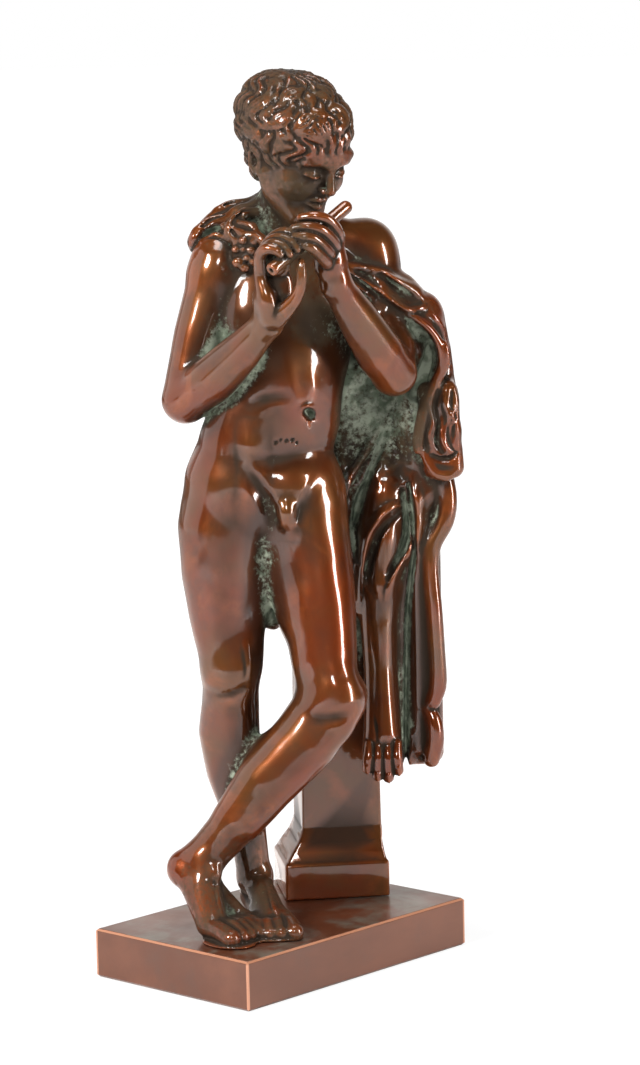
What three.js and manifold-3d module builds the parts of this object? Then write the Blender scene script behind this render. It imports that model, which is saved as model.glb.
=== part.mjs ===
// A small bronze figure: a youth leaning by a square pillar and playing a pipe, with an animal's skin
// thrown over the right shoulder and hung on the pillar, cast in one and set on a plain oblong plinth.
// Millimetres, +Z up, the origin at the middle of the plinth's underside, the plinth's long side along X.
//
// The figure is modelled as a sculptor works: limbs, muscles, folds and locks are tapered rolls and eggs of
// clay, each pressed softly into the ones before it. The clay is a distance field on a grid, its skin is
// found by marching through tetrahedra, and the skin is then thinned where it is nearly flat.
import * as THREE from "three";
import Module from "manifold-3d";

// Driving dimensions
const PLINTH = { length: 107, width: 70, height: 16.5, edge: 0.8 };
const FIGURE_TURN = -47.2; // degrees from the plinth's long side to the figure's own front
const SEAT_GAP = 0.3; // between the casting and the plinth that it stands on
const CELL = 1.25; // grid step of the clay
const SKIN_TRIANGLES = 8800; // what is left of the skin after thinning
const BRONZE = 0x5a2f1e;

// From here on, points are in the figure's own frame: X to its left, Y behind it, Z up from the plinth's
// underside. A positive turn faces a form to its left, a nod tips its top forward, a roll tips its top left.
const FLOOR = PLINTH.height + SEAT_GAP;
const rad = THREE.MathUtils.degToRad;
const vec = (p) => new THREE.Vector3(...p);
const rotation = ({ turn = 0, nod = 0, roll = 0 }) =>
  new THREE.Matrix4().makeRotationFromEuler(new THREE.Euler(rad(nod), rad(roll), rad(turn), "ZXY"));

// A frame and a size of its own for a head: forms placed in it land in the figure's frame.
function frameAt(origin, angles) {
  const turned = rotation(angles).setPosition(...origin);
  const { scale = 1 } = angles;
  const place = (p) => vec(p).multiplyScalar(scale).applyMatrix4(turned).toArray();
  const sized = (sizes) => sizes.map((size) => size * scale);
  return {
    place,
    formsOf: (clay) => ({
      egg: (centre, radii, options) => clay.egg(place(centre), sized(radii), { ...angles, ...options }),
      roll: (points, radii, options) => clay.roll(points.map(place), sized(radii), options),
      curl: (points, radii, steps, options) => clay.curl(points.map(place), sized(radii), steps, options),
    }),
  };
}

class Clay {
  constructor(low, high, cell) {
    this.low = low;
    this.cell = cell;
    this.size = low.map((l, axis) => Math.ceil((high[axis] - l) / cell) + 1);
    this.field = new Float32Array(this.size[0] * this.size[1] * this.size[2]).fill(8);
  }

  // Presses one form into the clay, or cuts it out, over the cells that it can reach.
  press(distance, low, high, { blend = 1, cut = false }) {
    const { cell, size, field } = this;
    const reach = blend + 2.5 * cell;
    const from = low.map((l, a) => Math.max(0, Math.floor((l - reach - this.low[a]) / cell)));
    const to = high.map((h, a) => Math.min(size[a] - 1, Math.ceil((h + reach - this.low[a]) / cell)));
    for (let k = from[2]; k <= to[2]; k++)
      for (let j = from[1]; j <= to[1]; j++)
        for (let i = from[0]; i <= to[0]; i++) {
          const at = (k * size[1] + j) * size[0] + i;
          const d = distance(this.low[0] + i * cell, this.low[1] + j * cell, this.low[2] + k * cell);
          const other = cut ? -d : d;
          const h = Math.max(blend - Math.abs(field[at] - other), 0) / blend;
          const soft = (h * h * blend) / 4;
          field[at] = cut ? Math.max(field[at], other) + soft : Math.min(field[at], other) - soft;
        }
  }

  // An egg: radii along its own left, back and up.
  egg(centre, radii, options = {}) {
    const turned = rotation(options).transpose().elements;
    const [cx, cy, cz] = centre;
    const [rx, ry, rz] = radii;
    const distance = (x, y, z) => {
      const [dx, dy, dz] = [x - cx, y - cy, z - cz];
      const px = (turned[0] * dx + turned[4] * dy + turned[8] * dz) / rx;
      const py = (turned[1] * dx + turned[5] * dy + turned[9] * dz) / ry;
      const pz = (turned[2] * dx + turned[6] * dy + turned[10] * dz) / rz;
      const near = Math.hypot(px, py, pz);
      const slope = Math.hypot(px / rx, py / ry, pz / rz);
      return slope < 1e-9 ? -Math.min(rx, ry, rz) : (near * (near - 1)) / slope;
    };
    const most = Math.max(rx, ry, rz);
    this.press(distance, centre.map((c) => c - most), centre.map((c) => c + most), options);
  }

  // A roll from point to point, tapered between the radii.
  roll(points, radii, options = {}) {
    const pieces = points.slice(1).map((p, i) => taperedRoll(vec(points[i]), vec(p), radii[i], radii[i + 1]));
    const distance = (x, y, z) => {
      let least = Infinity;
      for (const piece of pieces) least = Math.min(least, piece(x, y, z));
      return least;
    };
    const low = [0, 1, 2].map((axis) => Math.min(...points.map((p, i) => p[axis] - radii[i])));
    const high = [0, 1, 2].map((axis) => Math.max(...points.map((p, i) => p[axis] + radii[i])));
    this.press(distance, low, high, options);
  }

  // A smooth roll through the points, its radius eased from the first to the last of radii.
  curl(points, radii, steps, options = {}) {
    const curve = new THREE.CatmullRomCurve3(points.map(vec), false, "centripetal");
    const along = Array.from({ length: steps + 1 }, (_, i) => curve.getPoint(i / steps).toArray());
    const thick = along.map((_, i) => {
      const at = (i / steps) * (radii.length - 1);
      const j = Math.min(radii.length - 2, Math.floor(at));
      return THREE.MathUtils.lerp(radii[j], radii[j + 1], at - j);
    });
    this.roll(along, thick, options);
  }

  // A block with rounded edges: half sizes along its own left, back and up.
  block(centre, half, options = {}) {
    const turned = rotation(options).transpose().elements;
    const round = options.round ?? 1;
    const distance = (x, y, z) => {
      const [dx, dy, dz] = [x - centre[0], y - centre[1], z - centre[2]];
      const qx = Math.abs(turned[0] * dx + turned[4] * dy + turned[8] * dz) - half[0] + round;
      const qy = Math.abs(turned[1] * dx + turned[5] * dy + turned[9] * dz) - half[1] + round;
      const qz = Math.abs(turned[2] * dx + turned[6] * dy + turned[10] * dz) - half[2] + round;
      const outside = Math.hypot(Math.max(qx, 0), Math.max(qy, 0), Math.max(qz, 0));
      return outside + Math.min(Math.max(qx, qy, qz), 0) - round;
    };
    const most = Math.hypot(...half);
    this.press(distance, centre.map((c) => c - most), centre.map((c) => c + most), options);
  }

  // A fold or a groove drawn on the front of the clay, between two depths, along a smooth path of [x, z]
  // places. It raises the clay by the heights, or lowers it where they are less than nothing, and fades out
  // over a width to the left of its way and one to the right.
  stroke(path, heights, [left, right], [front, back], steps = 20) {
    const { cell, size, field } = this;
    const line = new THREE.SplineCurve(path.map((p) => new THREE.Vector2(...p))).getPoints(steps);
    const wide = Math.max(left, right);
    const index = (value, axis) =>
      THREE.MathUtils.clamp(Math.round((value - this.low[axis]) / cell), 0, size[axis] - 1);
    const [x0, x1] = [Math.min(...line.map((p) => p.x)) - wide, Math.max(...line.map((p) => p.x)) + wide];
    const [z0, z1] = [Math.min(...line.map((p) => p.y)) - wide, Math.max(...line.map((p) => p.y)) + wide];
    for (let k = index(z0, 2); k <= index(z1, 2); k++)
      for (let i = index(x0, 0); i <= index(x1, 0); i++) {
        const here = new THREE.Vector2(this.low[0] + i * cell, this.low[2] + k * cell);
        const raised = strokeHeight(here, line, heights, left, right);
        if (raised === 0) continue;
        for (let j = index(front, 1); j <= index(back, 1); j++)
          field[(k * size[1] + j) * size[0] + i] -= raised;
      }
  }

  // Fills every hollow that air from outside can't reach.
  fillHollows() {
    const { size, field } = this;
    const steps = [1, size[0], size[0] * size[1]];
    const reached = new Uint8Array(field.length);
    const open = [0];
    reached[0] = 1;
    while (open.length) {
      const at = open.pop();
      for (const step of steps)
        for (const next of [at - step, at + step])
          if (field[next] >= 0 && !reached[next]) {
            reached[next] = 1;
            open.push(next);
          }
    }
    for (let at = 0; at < field.length; at++) if (!reached[at] && field[at] >= 0) field[at] = -this.cell / 4;
  }

  // The skin of the clay, by marching through the six tetrahedra of each cell.
  skin() {
    const { size, field, low, cell } = this;
    const [nx, ny, nz] = size;
    const corner = [0, 1, nx, nx + 1, nx * ny, nx * ny + 1, nx * ny + nx, nx * ny + nx + 1];
    const made = new Map();
    const positions = [];
    const faces = [];
    const cross = (base, [a, b]) => {
      const at = base + corner[a];
      const key = at * 8 + (a ^ b);
      if (made.has(key)) return made.get(key);
      const other = base + corner[b];
      const t = THREE.MathUtils.clamp(field[at] / (field[at] - field[other]), 0.03, 0.97);
      const start = [at % nx, Math.floor(at / nx) % ny, Math.floor(at / (nx * ny))];
      const step = a ^ b;
      const p = start.map((s, axis) => low[axis] + cell * (s + ((step >> axis) & 1) * t));
      positions.push(...p);
      made.set(key, positions.length / 3 - 1);
      return positions.length / 3 - 1;
    };
    for (let k = 0; k + 1 < nz; k++)
      for (let j = 0; j + 1 < ny; j++)
        for (let i = 0; i + 1 < nx; i++) {
          const base = (k * ny + j) * nx + i;
          let mask = 0;
          for (let c = 0; c < 8; c++) if (field[base + corner[c]] < 0) mask |= 1 << c;
          if (mask === 0 || mask === 255) continue;
          for (const tet of TETRAHEDRA) {
            let inside = 0;
            for (let c = 0; c < 4; c++) if (mask & (1 << tet.corners[c])) inside |= 1 << c;
            for (const triangle of tet.cases[inside]) faces.push(...triangle.map((e) => cross(base, e)));
          }
        }
    return { positions, faces };
  }
}

// How far a stroke raises the clay at a place: the height at the nearest point of its line, less as the
// place is further from it.
function strokeHeight(here, line, heights, left, right) {
  let nearest = Infinity;
  let share = 0;
  let side = 0;
  for (let i = 0; i + 1 < line.length; i++) {
    const way = line[i + 1].clone().sub(line[i]);
    const off = here.clone().sub(line[i]);
    const along = THREE.MathUtils.clamp(off.dot(way) / way.lengthSq(), 0, 1);
    const apart = off.addScaledVector(way, -along);
    if (apart.lengthSq() >= nearest) continue;
    nearest = apart.lengthSq();
    share = (i + along) / (line.length - 1);
    side = way.cross(apart);
  }
  const away = Math.sqrt(nearest) / (side > 0 ? left : right);
  const at = share * (heights.length - 1);
  const first = Math.min(heights.length - 2, Math.floor(at));
  const height = THREE.MathUtils.lerp(heights[first], heights[first + 1], at - first);
  return height * Math.max(1 - away * away, 0) ** 2;
}

// The distance to two balls and the cone that wraps them.
function taperedRoll(a, b, ra, rb) {
  const ba = b.clone().sub(a);
  const l2 = ba.lengthSq();
  const rr = ra - rb;
  const a2 = l2 - rr * rr;
  return (x, y, z) => {
    const [px, py, pz] = [x - a.x, y - a.y, z - a.z];
    if (a2 <= 0) return ra > rb ? Math.hypot(px, py, pz) - ra : Math.hypot(x - b.x, y - b.y, z - b.z) - rb;
    const along = px * ba.x + py * ba.y + pz * ba.z;
    const rest = along - l2;
    const [qx, qy, qz] = [px * l2 - ba.x * along, py * l2 - ba.y * along, pz * l2 - ba.z * along];
    const x2 = qx * qx + qy * qy + qz * qz;
    const y2 = along * along * l2;
    const z2 = rest * rest * l2;
    const side = Math.sign(rr) * rr * rr * x2;
    if (Math.sign(rest) * a2 * z2 > side) return Math.sqrt(x2 + z2) / l2 - rb;
    if (Math.sign(along) * a2 * y2 < side) return Math.sqrt(x2 + y2) / l2 - ra;
    return (Math.sqrt((x2 * a2) / l2) + along * rr) / l2 - ra;
  };
}

// The six tetrahedra along a cell's long diagonal, and the triangles for each way that the skin can pass.
const TETRAHEDRA = [[1, 2], [2, 1], [1, 4], [4, 1], [2, 4], [4, 2]].map(([first, second]) => {
  const corners = [0, first, first | second, 7];
  const at = (c) => new THREE.Vector3(c & 1, (c >> 1) & 1, (c >> 2) & 1);
  const cases = Array.from({ length: 16 }, (_, mask) => {
    const inside = corners.filter((_, c) => mask & (1 << c));
    const outside = corners.filter((_, c) => !(mask & (1 << c)));
    if (!inside.length || !outside.length) return [];
    const edge = (a, b) => [Math.min(a, b), Math.max(a, b)];
    const ring =
      inside.length === 2
        ? [edge(inside[0], outside[0]), edge(inside[0], outside[1]), edge(inside[1], outside[1]),
           edge(inside[1], outside[0])]
        : inside.flatMap((a) => outside.map((b) => edge(a, b)));
    const middle = ([a, b]) => at(a).add(at(b)).multiplyScalar(0.5);
    const out = at(outside[0]).sub(at(inside[0]));
    const triangles = ring.length === 4 ? [[0, 1, 2], [0, 2, 3]] : [[0, 1, 2]];
    return triangles.map((triangle) => {
      const [p, q, r] = triangle.map((i) => middle(ring[i]));
      const facesOut = q.sub(p).cross(r.sub(p)).dot(out) > 0;
      return (facesOut ? triangle : [...triangle].reverse()).map((i) => ring[i]);
    });
  });
  return { corners, cases };
});

// Thins a closed skin to a number of triangles by joining the pair of neighbours that changes it least.
// weight(x, y, z) is over 1 where small forms are to be kept.
function thin({ positions, faces }, wanted, weight) {
  const points = Float64Array.from(positions);
  const count = points.length / 3;
  const around = Array.from({ length: count }, () => new Set());
  const quadrics = new Float64Array(count * 10);
  const alive = new Uint8Array(faces.length / 3).fill(1);
  const p = (v) => [points[3 * v], points[3 * v + 1], points[3 * v + 2]];
  const normalOf = (a, b, c) => {
    const [ux, uy, uz] = [b[0] - a[0], b[1] - a[1], b[2] - a[2]];
    const [vx, vy, vz] = [c[0] - a[0], c[1] - a[1], c[2] - a[2]];
    return [uy * vz - uz * vy, uz * vx - ux * vz, ux * vy - uy * vx];
  };
  for (let f = 0; f < alive.length; f++) {
    const corners = [faces[3 * f], faces[3 * f + 1], faces[3 * f + 2]];
    const [a, b, c] = corners.map(p);
    const n = normalOf(a, b, c);
    const area = Math.hypot(...n) || 1e-12;
    const [x, y, z] = n.map((part) => part / area);
    const d = -(x * a[0] + y * a[1] + z * a[2]);
    const plane = [x * x, x * y, x * z, x * d, y * y, y * z, y * d, z * z, z * d, d * d];
    const share = area * weight(a[0], a[1], a[2]);
    for (const v of corners) {
      around[v].add(f);
      for (let i = 0; i < 10; i++) quadrics[10 * v + i] += plane[i] * share;
    }
  }
  const stamp = new Int32Array(count);
  const gone = new Uint8Array(count);
  const heap = [];
  const push = (entry) => {
    let i = heap.push(entry) - 1;
    while (i > 0 && heap[(i - 1) >> 1].cost > entry.cost) {
      heap[i] = heap[(i - 1) >> 1];
      i = (i - 1) >> 1;
    }
    heap[i] = entry;
  };
  const pop = () => {
    const top = heap[0];
    const last = heap.pop();
    let i = 0;
    while (heap.length && 2 * i + 1 < heap.length) {
      let child = 2 * i + 1;
      if (child + 1 < heap.length && heap[child + 1].cost < heap[child].cost) child++;
      if (heap[child].cost >= last.cost) break;
      heap[i] = heap[child];
      i = child;
    }
    if (heap.length) heap[i] = last;
    return top;
  };
  const offer = (a, b) => {
    const q = Array.from({ length: 10 }, (_, i) => quadrics[10 * a + i] + quadrics[10 * b + i]);
    const error = ([x, y, z]) =>
      q[0] * x * x + 2 * q[1] * x * y + 2 * q[2] * x * z + 2 * q[3] * x + q[4] * y * y + 2 * q[5] * y * z +
      2 * q[6] * y + q[7] * z * z + 2 * q[8] * z + q[9];
    const [start, end] = [p(a), p(b)];
    const options = [start, end, start.map((s, i) => (s + end[i]) / 2)];
    const system = new THREE.Matrix3(q[0], q[1], q[2], q[1], q[4], q[5], q[2], q[5], q[7]);
    if (Math.abs(system.determinant()) > 1e-4) {
      const best = new THREE.Vector3(-q[3], -q[6], -q[8]).applyMatrix3(system.invert()).toArray();
      const apart = Math.hypot(...best.map((s, i) => s - options[2][i]));
      if (apart < 2 * Math.hypot(...start.map((s, i) => s - end[i]))) options.push(best);
    }
    const costs = options.map(error);
    const least = costs.indexOf(Math.min(...costs));
    const length = Math.hypot(...start.map((s, i) => s - end[i]));
    const cost = Math.max(costs[least], 0) + 1e-5 * length;
    push({ a, b, to: options[least], cost, at: stamp[a] + stamp[b] });
  };
  const others = (v) => {
    const found = new Set();
    for (const f of around[v]) for (let i = 0; i < 3; i++) found.add(faces[3 * f + i]);
    found.delete(v);
    return found;
  };
  const turnsOver = (v, other, to) => {
    for (const f of around[v]) {
      const corners = [faces[3 * f], faces[3 * f + 1], faces[3 * f + 2]];
      if (corners.includes(other)) continue;
      const before = normalOf(...corners.map(p));
      const after = normalOf(...corners.map((c) => (c === v ? to : p(c))));
      const dot = before[0] * after[0] + before[1] * after[1] + before[2] * after[2];
      if (dot < 0.25 * Math.hypot(...before) * Math.hypot(...after)) return true;
    }
    return false;
  };
  for (let v = 0; v < count; v++) for (const w of others(v)) if (v < w) offer(v, w);
  let left = alive.length;
  while (left > wanted && heap.length) {
    const { a, b, to, at } = pop();
    if (gone[a] || gone[b] || stamp[a] + stamp[b] !== at) continue;
    const near = others(b);
    let shared = 0;
    for (const v of others(a)) if (near.has(v)) shared++;
    if (shared !== 2 || turnsOver(a, b, to) || turnsOver(b, a, to)) continue;
    points.set(to, 3 * a);
    for (let i = 0; i < 10; i++) quadrics[10 * a + i] += quadrics[10 * b + i];
    for (const f of around[b]) {
      if (around[a].has(f)) {
        alive[f] = 0;
        left--;
        for (let i = 0; i < 3; i++) if (faces[3 * f + i] !== b) around[faces[3 * f + i]].delete(f);
        continue;
      }
      for (let i = 0; i < 3; i++) if (faces[3 * f + i] === b) faces[3 * f + i] = a;
      around[a].add(f);
    }
    around[b].clear();
    gone[b] = 1;
    const next = others(a);
    stamp[a]++;
    for (const v of next) offer(a, v);
  }
  const kept = faces.filter((_, i) => alive[Math.floor(i / 3)]);
  return new THREE.BufferGeometry()
    .setAttribute("position", new THREE.BufferAttribute(Float32Array.from(kept.flatMap(p)), 3));
}

function torso(clay) {
  const turn = 23;
  clay.egg([-2, -2, 163], [24, 16.5, 17.5], { turn, roll: 8, blend: 6 }); // pelvis
  clay.egg([-10.4, -2, 171], [14.8, 14.4, 15.6], { turn, roll: 16, blend: 6 }); // flank over the standing leg
  clay.egg([2.6, -4, 186], [21.6, 15, 21], { turn, roll: -4, blend: 8 }); // belly
  clay.egg([5.5, -2.6, 199], [18.4, 15, 16], { turn: 24, blend: 6 }); // the arch of the ribs
  clay.egg([6.5, 1, 213], [23, 16.5, 23], { turn: 27, roll: -6, blend: 7 }); // ribcage
  clay.egg([9.6, 5, 231], [24.5, 13, 11.5], { turn: 27, roll: 8, blend: 6 }); // collar and shoulder blades
  clay.egg([0.4, -8, 222.6], [13, 7.6, 9], { turn: 16, nod: 6, blend: 9 }); // right breast
  clay.egg([20, -1, 225.6], [12.4, 7.6, 9], { turn: 42, nod: 6, blend: 9 }); // left breast
  clay.egg([-11, 10, 158], [12.4, 11.4, 13.6], { turn, blend: 6 }); // buttocks
  clay.egg([6.4, 14.6, 155], [12, 11.4, 13.2], { turn, blend: 6 });
  clay.roll([[-3, 15.5, 232], [3, 15.5, 205]], [8.4, 7.4], { blend: 8 }); // back, either side of the spine
  clay.roll([[17.6, 22.6, 232], [12, 17.6, 205]], [8.4, 7.4], { blend: 8 });
  clay.egg([4.6, -15.6, 199], [7, 4, 9], { turn: 20, roll: -6, blend: 7 }); // upper belly
  clay.egg([-12.4, -7.4, 180], [7, 6.4, 7], { turn: 10, blend: 9 }); // muscle over the hip
  clay.egg([5.3, -15, 163.5], [8, 5.4, 7], { turn: 15, blend: 6 }); // pubic mound
  clay.egg([4.6, -18.8, 155.4], [3.4, 3.8, 5], { turn: 15, blend: 2.5 }); // one plain swelling
  // The grooves of the groin, the muscle beside the right one, the arch of the ribs and the navel
  const front = [-32, 2];
  clay.stroke([[-9, 172], [-5.4, 166], [-2, 160], [0.6, 153]], [-0.2, -1.8, -2.5, -1], [3.4, 4.2], front);
  clay.stroke([[18.6, 172], [15.6, 166], [12.4, 160], [9.4, 154]], [-0.3, -1.4, -2.1, -1], [3.6, 3.4], front);
  clay.stroke([[-5.4, 187], [-6.4, 178], [-6, 169], [-8.4, 144]], [0.2, 1.6, 1.7, 0.2], [7, 5.6], front);
  clay.stroke([[-9, 197], [-2, 204.4], [5.6, 207], [14, 204], [20, 196]], [-0.1, -0.6, -0.1], [5, 6], front);
  clay.stroke([[12.2, 188.2], [13.2, 187.2], [13.4, 186.2]], [-2.4, -2.6, -2.4], [2.3, 2.3], front);
}

function legs(clay) {
  // The standing leg
  clay.roll(
    [[-13.2, -2, 161], [-15.8, -3, 149], [-17, -5, 134], [-17.2, -7, 116], [-15.2, -7.5, 101]],
    [16, 15.6, 13.7, 10.4, 9.2], { blend: 5 });
  clay.roll(
    [[-15.2, -7.5, 101], [-15.6, -4.5, 90], [-16.3, -2.5, 80], [-15.3, -2.4, 67], [-11, -3, 47],
      [-9.2, -3.5, 31]],
    [9.2, 9.6, 10.2, 9, 6.2, 5.6], { blend: 3 });
  clay.egg([-14.6, -12, 102], [5.6, 4.2, 7], { blend: 7 }); // kneecap
  clay.egg([-8.6, -8.6, 112], [4.2, 5, 9], { blend: 6 }); // the muscle over the knee
  clay.egg([-7.4, -4, 128], [6, 8, 14], { blend: 5 }); // the inner thigh
  clay.roll([[-14, -10.4, 92], [-10, -7.4, 50]], [4.4, 2.8], { blend: 6 }); // shin bone
  clay.stroke([[-24, 97], [-18.6, 94.6], [-12, 96.6], [-8, 99]], [-0.2, -0.9, -0.2], [2, 2.8], [-30, 0]);
  // The crossed leg
  clay.roll(
    [[9, -2, 160], [13.6, -7, 138], [14.6, -11, 122], [15.8, -15.5, 105], [17.4, -17.5, 93]],
    [15.4, 12.2, 12, 10.7, 9.9], { blend: 5 });
  clay.roll([[3.6, -3, 152], [6, -6, 136], [9.4, -10.4, 119]], [9.4, 9, 7.4], { blend: 5 }); // its inner side
  clay.roll(
    [[17.4, -17.5, 93], [9, -18.5, 79.5], [-4, -19, 66.5], [-15.5, -19.5, 51.5], [-23.2, -20, 41]],
    [9.9, 11, 9.9, 7.8, 5.6], { blend: 3 });
  clay.egg([20.6, -24.4, 93.5], [5.6, 5, 6.6], { turn: 18, nod: 14, blend: 5 }); // kneecap
  clay.roll([[25.6, -16, 95], [22, -25, 89.4]], [2.4, 2.4], { blend: 4 }); // the sharp bend of the knee
  clay.roll([[19, -25.2, 84], [-10, -24.4, 52]], [4.6, 3], { blend: 5 }); // shin bone
  clay.egg([-0.6, -12.5, 71.5], [9, 7.4, 10.4], { roll: 40, blend: 5 }); // calf
  // The metal left between the thighs
  clay.roll([[-1.4, 2, 152], [-1.2, 1, 134], [-0.6, 0, 116]], [6.4, 5, 2.6], { blend: 4 });
}

// Five toes from the ball of a foot: forward is the way they point, inner is the side of the big toe.
function toes(clay, ball, forward, inner, length, drop) {
  const f = vec(forward).normalize();
  const s = vec(inner).normalize();
  const reach = [1, 1.02, 0.94, 0.8, 0.62];
  const thick = [3.5, 2.5, 2.4, 2.3, 2.2];
  const across = [5.2, 0.7, -2.6, -5.6, -8.3];
  const at = (along, side, up) => {
    const [x, y, z] = vec(ball).addScaledVector(f, along * length).addScaledVector(s, side).toArray();
    return [x, y, z + up];
  };
  for (const [i, share] of reach.entries()) {
    const rise = i === 0 ? 0.4 : 1.6;
    const points = [
      at(-0.35, across[i] * 0.82, 0.6), at(0.45 * share, across[i], rise), at(share, across[i] * 1.02, -drop),
    ];
    clay.roll(points, [thick[i], thick[i] * 0.86, thick[i] * 0.9], { blend: 1.3 });
  }
}

function feet(clay) {
  // Right foot, flat
  clay.roll([[-9.2, 1.4, 22.6], [-9.2, -1, 31]], [5, 4.6], { blend: 3 });
  clay.roll([[-8, -5, 28], [-5, -16, 24.4], [-2.9, -27, 21.4]], [4.8, 4.6, 3.7], { blend: 3 });
  clay.roll([[-9, -3, 20.6], [-7.4, -27, 20]], [3.2, 2.8], { blend: 3 });
  clay.roll([[-6.5, -3, 20.8], [0.6, -27, 20.6]], [3.2, 3.4], { blend: 3 });
  clay.egg([-5.4, -4.6, 31.4], [1.8, 2.4, 2.4], { blend: 3 }); // ankle bones
  clay.egg([-12.4, -2.6, 29.4], [1.6, 2.2, 2.4], { blend: 3 });
  toes(clay, [-2.9, -28.5, 19.6], [0.22, -0.97, 0], [0.97, 0.22, 0], 9, 0.6);
  // Left foot, on its toes
  clay.egg([-32.2, -18, 36.6], [5.6, 5.2, 5.4], { turn: 30, roll: 20, blend: 4 });
  clay.roll([[-31, -18, 39], [-22, -18.5, 47]], [4, 4.2], { blend: 4 });
  clay.roll([[-25.5, -20.5, 40], [-25, -25, 32], [-21.5, -32, 23]], [5, 4.6, 3.8], { blend: 4 });
  clay.roll([[-31, -20, 35], [-24, -33.5, 22]], [3.6, 3.8], { blend: 4 });
  clay.roll([[-26, -17, 34], [-13.4, -26, 22]], [3.4, 3], { blend: 4 });
  clay.egg([-21.6, -25.6, 37], [1.9, 2, 2.4], { blend: 3 }); // inner ankle
  toes(clay, [-18.2, -33.5, 20.4], [0.6, -0.8, 0], [-0.8, -0.6, 0], 10.5, 0.8);
}

function ground(clay) {
  clay.egg([-17, -39, FLOOR - 0.8], [13.5, 10.5, 2], { turn: -50, blend: 1.2 });
  clay.egg([-3, -34, FLOOR - 0.8], [11, 8, 1.9], { turn: -10, blend: 1.2 });
}

function arms(clay) {
  clay.egg([-16.2, -2.5, 234.5], [9.6, 10, 11.4], { roll: 14, blend: 4 });
  clay.roll(
    [[-17.4, -3.5, 230], [-22.8, -6, 213], [-27, -8.5, 196], [-27.8, -9.5, 192]],
    [8.8, 8.2, 7.4, 7.1], { blend: 3 });
  clay.roll(
    [[-27.8, -9.5, 192], [-18, -17, 199.5], [-9.5, -24, 208], [0.2, -32.5, 218.5]],
    [7.1, 7.9, 6.6, 4.8], { blend: 2 });
  clay.egg([33.8, 17.5, 236.4], [10, 10.4, 12.2], { roll: -12, blend: 4 });
  clay.roll([[35, 15.5, 231], [40, 5, 214], [41, -5, 199.5]], [9, 8.3, 7.3], { blend: 3 });
  clay.roll(
    [[41, -6, 198.8], [36.3, -12, 206.5], [29.6, -20.5, 218], [22.4, -29.5, 230.5]],
    [7.2, 7.9, 6.7, 4.6], { blend: 2 });
}

const PIPE = { from: [0.9, -50, 235.7], to: [27.4, -26.2, 255.8], radius: 2.15, bore: 1.1 };

function hands(clay) {
  // Left hand: the back, four fingers laid over the pipe, the thumb under it
  clay.roll([[22.4, -29.5, 230.5], [21.6, -31, 237.5]], [4.4, 4.8], { blend: 3 });
  clay.curl([[22.6, -30.6, 245.6], [21.6, -31.4, 241.4], [19.4, -32.4, 236.4]], [3.2, 3.6, 3.8], 6,
    { blend: 2.5 });
  const left = [
    [[23.4, -31.6, 244.6], [22.8, -36.4, 248.2], [20.2, -39.4, 251.6], [16, -40.6, 253], [11.6, -40, 252]],
    [[22.6, -32.4, 241.6], [21.6, -37.4, 244.8], [18.6, -41.4, 248.2], [14, -43, 249.6], [9.4, -42.4, 249.4]],
    [[21.2, -33, 239.2], [19.8, -39, 241.8], [16.8, -43, 245.2], [13.2, -44.8, 246.6], [9.8, -44.6, 246.8]],
    [[20.2, -33.4, 236.8], [19, -38.6, 238.6], [16.8, -42.8, 241.4], [14.4, -44.8, 243.4], [11.6, -45, 244]],
  ];
  for (const finger of left) clay.curl(finger, [2, 2.2, 1.85, 1.8, 1.5], 10, { blend: 0.5 });
  clay.curl([[19.5, -31, 238], [16.4, -34.4, 243], [15, -37, 248]], [2.7, 2.3, 1.8], 6, { blend: 1.2 });
  // Right hand: the palm turned to the pipe, the fingers hooked over it, the thumb up its near side
  clay.roll([[0.4, -33.4, 219], [0.2, -37, 227]], [4.5, 4.6], { blend: 3 });
  clay.curl([[1.4, -38.4, 221], [0.4, -40.4, 226.6], [-1.2, -39.6, 232.6], [-1.6, -39.4, 237.6]],
    [3.4, 3.1, 2.3, 2.1], 8, { blend: 1.6 });
  const right = [
    [[-1.6, -40.6, 236.6], [-1.4, -43.6, 240.8], [0.6, -46.6, 243.2], [3.6, -48, 242.8], [5, -48.4, 241.4]],
    [[-1.2, -39, 237.4], [-0.6, -42.4, 242], [2.4, -45.4, 244.6], [6, -47, 243.8], [8, -47.6, 241.4]],
    [[-1, -37.4, 238.4], [0.4, -40.6, 243.8], [4, -43.6, 246.4], [8, -45.4, 245.4], [10.4, -46.2, 242.8]],
    [[-0.6, -35.6, 238.6], [1.4, -38.4, 245], [5.4, -41, 248], [9, -42.8, 247.6], [11, -44, 245.6]],
  ];
  for (const finger of right) clay.curl(finger, [2.1, 2, 1.9, 1.7, 1.5], 10, { blend: 0.5 });
  clay.egg([4, -38.6, 238], [4.4, 2.6, 4.4], { blend: 1 });
  clay.egg([4.4, -36.4, 229.8], [4.6, 2.4, 7.4], { blend: 1.2 });
  clay.curl([[3, -38, 220.4], [6.6, -41, 223.8], [10, -43, 228], [11.4, -44.6, 232.4], [11.6, -44.6, 239]],
    [3.4, 2.7, 2, 1.8, 1.5], 10, { blend: 1 });
}

const HEAD = frameAt([11, -6, 273.2], { turn: 44, nod: 26, scale: 1.18 });

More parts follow.
